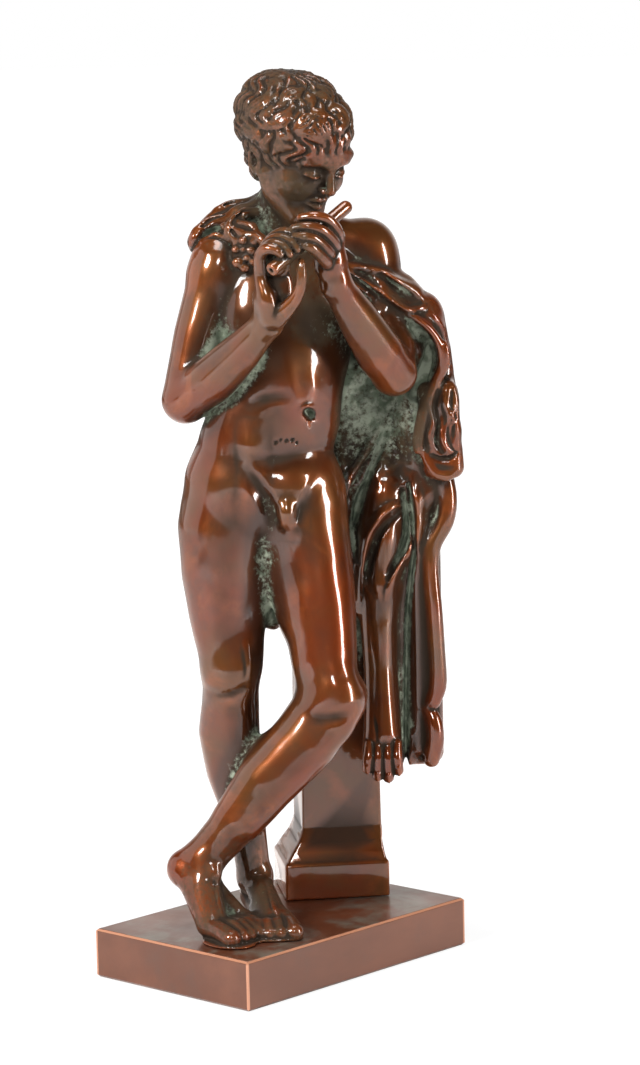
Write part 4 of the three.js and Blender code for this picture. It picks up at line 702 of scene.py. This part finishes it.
def toes(clay, ball, forward, inner, length, drop):
    """Five toes from the ball of a foot: inner is the side of the big toe."""
    forward, inner = Vector(forward).normalized(), Vector(inner).normalized()

    def at(along, side, up):
        return Vector(ball) + forward * along * length + inner * side + Vector((0, 0, up))

    # How far each toe reaches, how thick it is, where it stands across the foot and how far it arches
    for reach, thick, across, rise in (
        (1, 3.5, 5.2, 0.4), (1.02, 2.5, 0.7, 1.6), (0.94, 2.4, -2.6, 1.6), (0.8, 2.3, -5.6, 1.6),
        (0.62, 2.2, -8.3, 1.6),
    ):
        heel, knuckle = at(-0.35, across * 0.82, 0.6), at(0.45 * reach, across, rise)
        tip = at(reach, across * 1.02, -drop)
        clay.roll([heel, knuckle, tip], [thick, thick * 0.86, thick * 0.9], blend=1.3)


def placed(name, data):
    """A new object in the scene."""
    made = bpy.data.objects.new(name, data)
    bpy.context.scene.collection.objects.link(made)
    return made


class HeadFrame:
    """The frame and the size of the head, turned to its left and bowed."""

    origin = Vector((11, -6, 273.2))
    angles = {"turn": 44, "nod": 26}
    scale = 1.18

    def __init__(self, clay):
        self.clay = clay
        self.axes = turned(**self.angles)

    def place(self, point):
        return self.axes @ (Vector(point) * self.scale) + self.origin

    def egg(self, centre, radii, **options):
        self.clay.egg(self.place(centre), [r * self.scale for r in radii], **self.angles, **options)

    def roll(self, points, radii, **options):
        self.clay.roll([self.place(p) for p in points], [r * self.scale for r in radii], **options)

    def curl(self, points, radii, steps, **options):
        self.clay.curl([self.place(p) for p in points], [r * self.scale for r in radii], steps, **options)


# The two eggs of hair, each a middle and radii in the head's own frame
CROWN = ((-0.9, 3.6, 6), (14.6, 18, 14.2))
NAPE = ((0.6, 4.8, -2.8), (11, 10.8, 11.2))


def lock(head, egg, path, width, height):
    """A lock that lies on an egg of the head: strands side by side that part and meet again, along a
    smooth path of places, each given by its degrees round from the left ear and its degrees up."""
    middle, radii = (np.array(part, float) for part in egg)
    steps = 4 * len(path)
    around, up = np.radians(curve_through(path, steps)).T
    rays = np.stack([np.cos(around) * np.cos(up), np.sin(around) * np.cos(up), np.sin(up)], axis=1)
    points = middle + radii * rays
    outward = rays / radii
    outward /= np.linalg.norm(outward, axis=1)[:, None]
    side = np.cross(outward, np.gradient(points, axis=0))
    side /= np.linalg.norm(side, axis=1)[:, None]
    along = np.linspace(0, 1, steps + 1)
    swell = np.sin(np.pi * along**0.8)[:, None]
    for strand in (-1.0, 0.0, 1.0):
        place = points + outward * (0.3 * height * swell - 0.7) + side * (strand * swell * width * 0.24)
        head.roll(place, 0.2 + width * 0.19 * swell[:, 0], blend=0.5)
    thick = 0.17 + width * 0.04 * (1 + swell[:, 0])
    for strand in (-1.5, -0.5, 0.5, 1.5):
        lift = (0.8 * height + 0.1 - 0.16 * strand**2) * swell - 0.4
        place = points + outward * lift + side * (strand * swell * width * 0.28)
        head.roll(place, thick, blend=0.2)


def combed(clay, egg):
    """An egg of hair combed out from the whorl at the back of the crown: wavy, broken locks of strands."""
    head = HeadFrame(clay)
    middle, radii = egg
    radii = np.array(radii) * head.scale
    first, last, p = clay.seen_from(head.place(middle), head.axes, radii.max() + 2, 0)
    distance, q, near = egg_distance(p, radii)
    up, back = math.cos(WHORL_LEAN), math.sin(WHORL_LEAN)
    top = (q[2] * up + q[1] * back) / near
    behind = q[1] * up - q[2] * back
    around = np.arctan2(behind, q[0])
    down = np.arccos(np.clip(top, -1, 1)) * HEAD_RADIUS
    wave = 2.3 * np.sin(0.5 * down + 2.1 * np.cos(2 * around)) + 1.2 * np.sin(0.85 * down + 3 * around + 1)
    locks = np.abs(np.sin(12 * around + 0.5 * wave + 0.9 * np.sin(0.33 * down)))
    breaks = np.abs(np.sin(0.36 * down + 1.1 * np.sin(5 * around) + 0.8 * np.sin(3 * around + 2))) ** 0.6
    strands = np.abs(np.sin(31 * around + 1.3 * wave))
    fade = np.clip(down / PARTING_FADE, 0, 1)
    relief = fade * (1.25 * locks * breaks + 0.42 * strands) - 0.5
    clay.merge((distance - relief).astype(np.float32), first, last, 0.6, False)


def hair(clay):
    """Flame-shaped locks swept down from the crown, with a larger forelock over the brow."""
    head = HeadFrame(clay)
    for egg in (CROWN, NAPE):
        combed(clay, egg)
    locks = [
        ([(128, 38), (134, 56), (160, 68), (182, 84)], 4.2, 0.9),
        ([(151, 47), (163, 53), (179, 51), (188, 44)], 3.4, 0.9),
        ([(214, 62), (204, 52), (199, 43), (204, 34)], 4.4, 1.5),
        ([(224, 58), (231, 53), (227, 44)], 3, 1),
        ([(176, 44), (179, 32), (172, 16), (168, 5), (173, -3)], 4, 1.2),
        ([(204, 38), (209, 28), (207, 21), (200, 13), (190, 5), (182, -4)], 3.4, 1.2),
        ([(238, 38), (229, 25), (217, 12)], 4.6, 1.9),
        ([(240, 35), (250, 24), (256, 11)], 4.4, 1.9),
        ([(221, 12), (233, 18), (245, 14), (257, 10)], 3.4, 1.7),
        ([(236, 46), (241, 39), (252, 37), (256, 30)], 3.2, 1.7),
        ([(258, 46), (276, 48), (290, 41), (289, 31), (272, 26), (260, 29)], 3, 1.6),
        ([(272, 40), (280, 36), (276, 31)], 2.6, 1.4),
        ([(300, 52), (310, 40), (308, 26), (298, 16)], 3.6, 1.5),
        ([(284, 22), (289, 12), (280, 6)], 3, 1.4),
        ([(230, 66), (268, 71), (284, 62), (286, 52)], 3.2, 1),
        ([(229, 60), (255, 62), (271, 57), (268, 48)], 3, 1),
        ([(186, 30), (190, 22), (186, 14), (190, 8)], 3, 1.1),
        ([(155, -20), (170, -12), (188, -11), (196, -17)], 3.4, 1),
        ([(206, -14), (214, -7), (226, -2)], 3, 0.9),
        ([(206, 0), (214, 5), (224, 5)], 2.8, 0.9),
    ]
    for path, width, height in locks:
        lock(head, CROWN, path, width, height)


def pillar(clay):
    """A square foot, a hollow moulding and a shaft that narrows slightly."""
    centre = (16.9, 33.2)
    foot, neck, top = 28.6, 41, 172
    low = CLAY_LOW[2]
    profile = [(low, 18), (foot, 18), (29.6, 17.2), (32.6, 16), (36, 14.6), (neck, 13.7), (top, 12.3)]
    depth_share = 32.6 / 36
    offset = 2.4
    edge = 0.7
    reach = 28
    near, far = [place - reach for place in centre], [place + reach for place in centre]
    first, last = clay.window((*near, low), (*far, top), 2)
    x, y, z = clay.places(first, last)
    half = np.interp(z, *zip(*profile))
    px, py, _ = own_places((x, y, z), (*centre, 0), turned(PILLAR_TURN))
    share = np.clip((z - foot) / (neck - foot), 0, 1)
    px = px - offset * share * share * (3 - 2 * share)
    qx = np.abs(px) - half + edge
    qy = np.abs(py) - half * depth_share + edge
    flat = np.sqrt(np.maximum(qx, 0) ** 2 + np.maximum(qy, 0) ** 2) + np.minimum(np.maximum(qx, qy), 0) - edge
    flat = np.maximum(flat, z - top)
    # The corner that would hang over the plinth's end is trimmed off
    turn = math.radians(FIGURE_TURN)
    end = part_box("plinth")[1].x / MM - 0.8
    flat = np.maximum(flat, x * math.cos(turn) - y * math.sin(turn) - end)
    clay.merge(flat.astype(np.float32), first, last, 0.5, False)


def facing(along):
    """The turn and nod that lay a block's own Y along a direction."""
    level = math.hypot(along[0], along[1])
    return {"turn": math.degrees(math.atan2(-along[0], along[1])),
            "nod": math.degrees(math.atan2(along[2], level))}


def pipe(clay):
    start = Vector((0.9, -50, 235.7))
    end = Vector((27.4, -26.2, 255.8))
    along = (end - start).normalized()
    clay.roll([start + along * 2.1, end - along * 2.1], [2.2, 2.2], blend=0.4)
    clay.block(start - along * 0.6, [4, 2.2, 4], **facing(along), round=0.1, blend=0.4, cut=True)
    clay.roll([start + along * 1.6, start + along * 4], [0.7, 0.7], blend=0.4, cut=True)


FORMS = [torso, legs, feet, arms, pelt, head_and_face, hair, hands, ground, pillar, pipe]


def casting_clay():
    clay = Clay(CLAY_LOW, CLAY_HIGH, CELL)
    for form in FORMS:
        form(clay)
    # The slight unevenness of the body's cast surface
    for size, amount, seed in ((5.5, 0.13, 21), (2.2, 0.04, 22)):
        clay.grain([-38, -44, 26], [32, 8, 248], [size] * 3, amount, seed)
    # Cut level at the plinth's top
    below = np.arange(clay.count[2]) * clay.cell + clay.low[2]
    clay.field = np.maximum(clay.field, (FLOOR - below).astype(np.float32)[None, None, :])
    return clay


def shares_near(solid, cells):
    """The share of solid metal in a box of that many cells each way round each cell."""
    width = 2 * cells + 1
    for axis in range(3):
        pad = [(0, 0)] * 3
        pad[axis] = (cells + 1, cells)
        total = np.cumsum(np.pad(solid, pad), axis=axis, dtype=np.float32)
        count = solid.shape[axis]
        ends, starts = (np.take(total, range(a, a + count), axis) for a in (width, 0))
        solid = (ends - starts) / width
    return solid


def values_at(grid, low, cell, points):
    """The grid's values at points, between its cells."""
    at = (points - low) / cell
    base = np.clip(np.floor(at).astype(int), 0, np.array(grid.shape) - 2)
    t = np.clip(at - base, 0, 1)
    found = np.zeros(len(points))
    for corner in range(8):
        step = np.array([corner & 1, corner >> 1 & 1, corner >> 2 & 1])
        weight = np.prod(np.where(step, t, 1 - t), axis=1)
        found += weight * grid[tuple((base + step).T)]
    return found


# Where the pale veil lies: the middle and the reach of each region, and how much of it is covered
VEILS = [
    ((8, 3, 284), 24, 1.0),
    ((14, -16, 262), 11, 0.7),
    ((3, 0, 254), 14, 0.8),
    ((8, -8, 240), 15, 0.55),
    ((9, -42, 243), 9, 0.6),
    ((-8, -10, 243), 10, 0.45),
    ((34, 12, 186), 17, 1.9),
    ((44, 4, 222), 12, 0.35),
    ((-2, -6, 140), 10, 0.4),
    ((-6, -8, 200), 9, 0.35),
    ((15, -12, 217), 8, 0.9),
    ((-14, -9, 214), 8, 0.6),
    ((-10, -28, 24), 26, 0.55),
    ((-8, -22, 20), 14, 0.5),
]

# How deep a place lies, told by the share of metal near it: name, reach in millimetres, cells skipped
DEPTHS = [("groove", 1.0, 1), ("crevice", 2.0, 2), ("hollow", 5.0, 2), ("recess", 10.0, 2)]


def mark_hollows(mesh, clay):
    """Vertex attributes for the patina: how far each place lies in a groove, a crevice, a hollow or a deep
    recess, and how much of the dull, pale veil the whole region keeps."""
    count = len(mesh.vertices)
    points, normals = np.empty(count * 3), np.empty(count * 3)
    mesh.vertices.foreach_get("co", points)
    mesh.vertices.foreach_get("normal", normals)
    points, normals = points.reshape(-1, 3) / MM, normals.reshape(-1, 3)
    marks = {"veil": np.zeros(count)}
    for middle, reach, share in VEILS:
        apart = np.linalg.norm(points - np.array(middle), axis=1) / reach
        marks["veil"] = np.maximum(marks["veil"], share * np.clip(1.5 - apart, 0, 1) ** 0.8)
    for name, radius, every in DEPTHS:
        cell = every * clay.cell
        solid = np.clip(0.5 - clay.field[::every, ::every, ::every] / cell, 0, 1)
        near = shares_near(solid, round(radius / cell))
        marks[name] = values_at(near, clay.low, cell, points + normals * radius * 0.5)
    for name, values in marks.items():
        mesh.attributes.new(name, "FLOAT", "POINT").data.foreach_set("value", values.astype(np.float32))


class Paint:
    """The nodes of a material, or of the studio's light, added one by one."""

    def __init__(self, made):
        made.use_nodes = True
        self.tree = made.node_tree
        self.places = self.node("TexCoord")

    def settle(self, node, inputs):
        """Each input is linked to a socket, or set on the node itself."""
        for name, value in inputs.items():
            if isinstance(value, bpy.types.NodeSocket):
                self.tree.links.new(value, node.inputs[name])
            else:
                node.inputs[name].default_value = value

    def node(self, kind, inputs=None, **settings):
        """The outputs of a new node."""
        node = self.tree.nodes.new("ShaderNode" + kind)
        for name, value in settings.items():
            setattr(node, name, value)
        self.settle(node, inputs or {})
        return node.outputs

    def noise(self, scale, detail=4, roughness=0.5, stretch=None, distortion=0.0):
        place = self.places["Object"]
        if stretch:
            place = self.node("Mapping", {"Vector": place, "Scale": stretch})["Vector"]
        grain = {"Scale": scale, "Detail": detail, "Roughness": roughness, "Distortion": distortion}
        return self.node("TexNoise", {"Vector": place, **grain})["Fac"]

    def attribute(self, name):
        return self.node("Attribute", attribute_name=name)["Fac"]

    def math(self, kind, first, *others):
        """The first value taken with each of the others in turn."""
        for other in others:
            first = self.node("Math", {0: first, 1: other}, operation=kind)[0]
        return first

    plus = partialmethod(math, "ADD")
    less = partialmethod(math, "SUBTRACT")
    times = partialmethod(math, "MULTIPLY")
    most = partialmethod(math, "MAXIMUM")

    def ramp(self, value, low, high, to_low=0.0, to_high=1.0, kind="SMOOTHSTEP"):
        ends = {"From Min": low, "From Max": high, "To Min": to_low, "To Max": to_high}
        return self.node("MapRange", {"Value": value, **ends}, interpolation_type=kind)["Result"]

    def mix(self, share, a, b):
        return self.node("Mix", {"Factor": share, "A": a, "B": b}, data_type="RGBA")["Result"]

    def bump(self, height, distance, strength, under=None):
        inputs = {"Height": height, "Distance": distance, "Strength": strength}
        if under:
            inputs["Normal"] = under
        return self.node("Bump", inputs)["Normal"]


RED_BROWN = (0.094, 0.017, 0.004, 1)
OLIVE_BROWN = (0.072, 0.026, 0.008, 1)
WARM_BROWN = (0.145, 0.036, 0.009, 1)
DARK_BROWN = (0.042, 0.015, 0.008, 1)
SHADE_BROWN = (0.028, 0.009, 0.004, 1)
WORN_BRONZE = (0.170, 0.044, 0.012, 1)
DULL_BROWN = (0.032, 0.023, 0.014, 1)
GRIME_AND_SHADE = (0.016, 0.011, 0.008, 1)
DARK_VERDIGRIS = (0.085, 0.105, 0.075, 1)
PALE_VERDIGRIS = (0.210, 0.235, 0.180, 1)
PLINTH_BROWN = (0.072, 0.020, 0.008, 1)
PLINTH_RED = (0.106, 0.032, 0.014, 1)
PLINTH_BLOTCH = (0.060, 0.026, 0.018, 1)
PLINTH_FILM = (0.120, 0.120, 0.095, 1)
WORN_COPPER = (0.420, 0.190, 0.110, 1)


def casting_bronze():
    """Glossy red-brown patina, with painted shade deepening the hollows and recesses and, mixed with grime,
    near black in the crevices; pale green-grey in the hollows.
    """
    made = bpy.data.materials.new("casting_bronze")
    paint = Paint(made)
    ramp, noise, mix = paint.ramp, paint.noise, paint.mix
    groove, crevice, hollow, recess, veil = (
        paint.attribute(name) for name in ("groove", "crevice", "hollow", "recess", "veil")
    )
    colour = mix(ramp(noise(22, 4, 0.6), 0.38, 0.62), RED_BROWN, OLIVE_BROWN)
    colour = mix(ramp(noise(48, 4, 0.6, distortion=0.8), 0.52, 0.70, 0, 0.7), colour, WARM_BROWN)
    colour = mix(ramp(noise(70, 5, 0.6), 0.50, 0.70, 0, 0.6), colour, DARK_BROWN)
    # Painted shade: the colour sinks to a deep brown in the hollows and recesses, as ambient occlusion would
    shade = paint.most(ramp(recess, 0.15, 0.30, 0, 0.85), ramp(hollow, 0.21, 0.31, 0, 0.75))
    colour = mix(shade, colour, SHADE_BROWN)
    worn = paint.times(ramp(crevice, 0.21, 0.08, 0, 0.8), paint.less(1.0, paint.times(veil, 0.9)))
    colour = mix(worn, colour, WORN_BRONZE)
    speckle = paint.times(paint.less(noise(650, 3, 0.65), 0.5), 1.5)
    mottle = paint.plus(paint.less(noise(95, 5, 0.65), 0.5), speckle)
    # The dull veil lies everywhere but on the ridges
    cover = paint.plus(paint.times(veil, ramp(groove, 0.12, 0.22)), paint.times(mottle, 0.7))
    cover = ramp(cover, 0.15, 0.75, 0, 0.9)
    colour = mix(cover, colour, DULL_BROWN)
    # Painted shade mixed with grime: near black in the narrowest grooves and crevices, the veiled ones most,
    # and in the deepest hollows and recesses, where little light reaches
    grime_and_shade = paint.most(ramp(groove, 0.245, 0.30), ramp(crevice, 0.26, 0.34))
    dark = paint.most(
        ramp(crevice, 0.29, 0.42),
        ramp(hollow, 0.29, 0.48),
        ramp(groove, 0.26, 0.33),
        ramp(recess, 0.42, 0.62),
        paint.times(grime_and_shade, ramp(veil, 0.3, 0.9)),
    )
    colour = mix(dark, colour, GRIME_AND_SHADE)
    deep = paint.plus(hollow, paint.times(recess, 0.5), paint.times(veil, 0.12), paint.times(mottle, 0.45))
    green = ramp(deep, 0.60, 0.86, 0, 0.85)
    verdigris = mix(ramp(noise(240, 3), 0.4, 0.6), DARK_VERDIGRIS, PALE_VERDIGRIS)
    colour = mix(green, colour, verdigris)
    pale = ramp(paint.plus(veil, paint.times(mottle, 1.6)), 1.05, 2.0, 0, 0.75)
    colour = mix(pale, colour, verdigris)
    dull = paint.most(dark, green, cover)
    fine = paint.bump(noise(900, 3, 0.6), 0.00002, 0.5)
    paint.settle(paint.tree.nodes["Principled BSDF"], {
        "Base Color": colour,
        "Metallic": paint.times(paint.less(1.0, dull), 0.44),
        "Roughness": paint.plus(0.30, paint.times(dull, 0.35)),
        "Specular IOR Level": 0.08,
        "Specular Tint": (1.0, 0.60, 0.35, 1),
        "Coat Weight": paint.less(0.85, paint.times(dull, 0.8)),
        "Coat Roughness": 0.08,
        "Normal": paint.bump(noise(120, 2), 0.0002, 0.25, fine),
    })
    return made


def plinth_bronze():
    """Satin brown patina, brushed along the block, coppery at its worn edges, with a pale film on top."""
    made = bpy.data.materials.new("plinth_bronze")
    paint = Paint(made)
    ramp, noise, mix = paint.ramp, paint.noise, paint.mix
    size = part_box("plinth")[1]
    colour = mix(ramp(noise(30, 5, 0.6, stretch=(0.35, 1, 1)), 0.35, 0.7), PLINTH_BROWN, PLINTH_RED)
    colour = mix(ramp(noise(45, 5, 0.65), 0.52, 0.72, 0, 0.55), colour, PLINTH_BLOTCH)
    x, y, z = paint.node("SeparateXYZ", {0: paint.places["Object"]})
    top = ramp(z, size.z - 0.0004, size.z - 0.0001)
    film = paint.times(top, ramp(noise(38, 5, 0.7, distortion=0.6), 0.48, 0.66, 0, 0.65))
    colour = mix(film, colour, PLINTH_FILM)
    # How near each place is to the nearest two sides, worn bright where they meet
    gaps = [
        paint.less(size.x, paint.math("ABSOLUTE", x, 0.0)),
        paint.less(size.y, paint.math("ABSOLUTE", y, 0.0)),
        paint.less(size.z, z),
    ]
    sides = paint.plus(*(paint.math("LESS_THAN", gap, 0.0007) for gap in gaps))
    ragged = paint.times(paint.less(noise(160, 4, 0.7), 0.5), 1.2)
    edge = ramp(paint.plus(sides, ragged), 1.5, 1.9, 0, 0.8)
    colour = mix(edge, colour, WORN_COPPER)
    strokes = noise(500, 3, 0.6, stretch=(0.15, 1, 1))
    paint.settle(paint.tree.nodes["Principled BSDF"], {
        "Base Color": colour,
        "Metallic": 0.35,
        "Roughness": ramp(noise(50, 4), 0.35, 0.65, 0.30, 0.42),
        "Specular Tint": (1.0, 0.84, 0.72, 1),
        "Coat Weight": 0.3,
        "Coat Roughness": 0.14,
        "Normal": paint.bump(strokes, 0.00003, 0.6),
    })
    return made


def outer_skin(mesh):
    """Only the skin that holds the lowest point: hollows closed inside the clay aren't part of a casting."""
    ends = np.empty(2 * len(mesh.edges), np.int64)
    mesh.edges.foreach_get("vertices", ends)
    one, other = ends.reshape(-1, 2).T
    island = np.arange(len(mesh.vertices))
    while (island[one] != island[other]).any():
        least = np.minimum(island[one], island[other])
        np.minimum.at(island, one, least)
        np.minimum.at(island, other, least)
        island = island[island]
    heights = np.array([vertex.co.z for vertex in mesh.vertices])
    outer = island[heights.argmin()]
    shape = bmesh.new()
    shape.from_mesh(mesh)
    inner = [vertex for vertex, number in zip(shape.verts, island) if number != outer]
    bmesh.ops.delete(shape, geom=inner, context="VERTS")
    shape.to_mesh(mesh)
    shape.free()


def casting_piece():
    """The youth, skin, pillar and pipe, cast in one: the clay's skin, thinned where it is nearly flat."""
    clay = casting_clay()
    casting = placed("casting", clay.skin("casting"))
    thin = casting.modifiers.new("thin", "DECIMATE")
    thin.ratio = CASTING_TRIANGLES / (2 * len(casting.data.polygons))
    depsgraph = bpy.context.evaluated_depsgraph_get()
    casting.data = bpy.data.meshes.new_from_object(casting.evaluated_get(depsgraph))
    casting.modifiers.clear()
    outer_skin(casting.data)
    mark_hollows(casting.data, clay)
    casting.data.transform(Matrix.Rotation(math.radians(FIGURE_TURN), 4, "Z"))
    casting.data.shade_smooth()
    casting.data.materials.clear()
    casting.data.materials.append(casting_bronze())
    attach(casting, "root")
    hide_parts("figure")


casting_piece()
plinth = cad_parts["plinth"]
plinth.data.materials.clear()
plinth.data.materials.append(plinth_bronze())

# The camera, solved from the plinth's corners in the photograph
CAMERA_AT = Vector((-0.8424, -0.8021, 0.3120))
CAMERA_TURN = (-47.17, 8.13, -1.267)
LENS = 119.49
camera = placed("camera", bpy.data.cameras.new("camera"))
azimuth, elevation, tilt = (math.radians(a) for a in CAMERA_TURN)
level = math.cos(elevation)
back = Vector((math.sin(azimuth) * level, -math.cos(azimuth) * level, math.sin(elevation)))
right = Vector((0, 0, 1)).cross(back).normalized()
up = back.cross(right)
right, up = right * math.cos(tilt) + up * math.sin(tilt), up * math.cos(tilt) - right * math.sin(tilt)
camera.matrix_world = Matrix.Translation(CAMERA_AT) @ Matrix((right, up, back)).transposed().to_4x4()
camera.data.sensor_width = 36
camera.data.lens = LENS
camera.data.clip_start = 0.01
bpy.context.scene.camera = camera

# A studio that is white to the camera and brighter behind it than in front
world = bpy.data.worlds.new("studio")
bpy.context.scene.world = world
studio = Paint(world)
ahead = studio.node("VectorMath", {0: studio.places["Generated"], 1: -back}, operation="DOT_PRODUCT")["Value"]
seen = studio.node("LightPath")["Is Camera Ray"]
glow = studio.most(seen, studio.ramp(ahead, 0.35, 0.9, 0.0, 0.95))
studio.settle(studio.tree.nodes["Background"], {"Strength": glow, "Color": (1, 1, 1, 1)})


def pale_floor():
    """Nearly white, and whiter still to the camera the farther off it lies."""
    made = bpy.data.materials.new("pale_floor")
    paint = Paint(made)
    own = paint.tree.nodes["Principled BSDF"]
    paint.settle(own, {"Base Color": (0.8, 0.8, 0.8, 1), "Roughness": 0.9})
    distance = paint.node("VectorMath", {0: paint.places["Object"]}, operation="LENGTH")["Value"]
    fade = paint.ramp(distance, 0.1, 0.6, 1.02, 1.3, "LINEAR")
    light = paint.node("Emission", {"Strength": fade})[0]
    share = paint.times(paint.node("LightPath")["Is Camera Ray"], 0.8)
    blend = paint.node("MixShader", {"Fac": share, 1: own.outputs[0], 2: light})[0]
    paint.settle(paint.tree.nodes["Material Output"], {"Surface": blend})
    return made


shape = bmesh.new()
bmesh.ops.create_circle(shape, cap_ends=True, segments=64, radius=30)
floor = placed("floor", bpy.data.meshes.new("floor"))
shape.to_mesh(floor.data)
shape.free()
floor.location.z = -0.0002
floor.data.materials.append(pale_floor())

# The lamps' names, places seen from the camera's side, sizes and powers
LAMPS_AIM = Vector((0, 0, 0.16))
LAMPS = [
    ("wall", (-1.4, 0.1, 0.45), (1.6, 1.6), 11),
    ("key", (-0.9, -0.95, 0.9), (0.45, 0.45), 42),
    ("front", (0.1, -1.4, 0.9), (0.3, 0.3), 11),
    ("right", (1.15, -0.45, 0.35), (0.22, 0.9), 19),
    ("above", (0.0, -0.1, 1.5), (0.7, 0.7), 15),
]
for name, place, size, power in LAMPS:
    lamp = bpy.data.lights.new(name, "AREA")
    lamp.shape = "ELLIPSE"
    lamp.size, lamp.size_y = size
    lamp.energy = power
    lit = placed(name, lamp)
    lit.location = Matrix.Rotation(azimuth, 3, "Z") @ Vector(place)
    lit.rotation_euler = (lit.location - LAMPS_AIM).to_track_quat("Z", "Y").to_euler()

bpy.context.scene.view_settings.view_transform = "Standard"
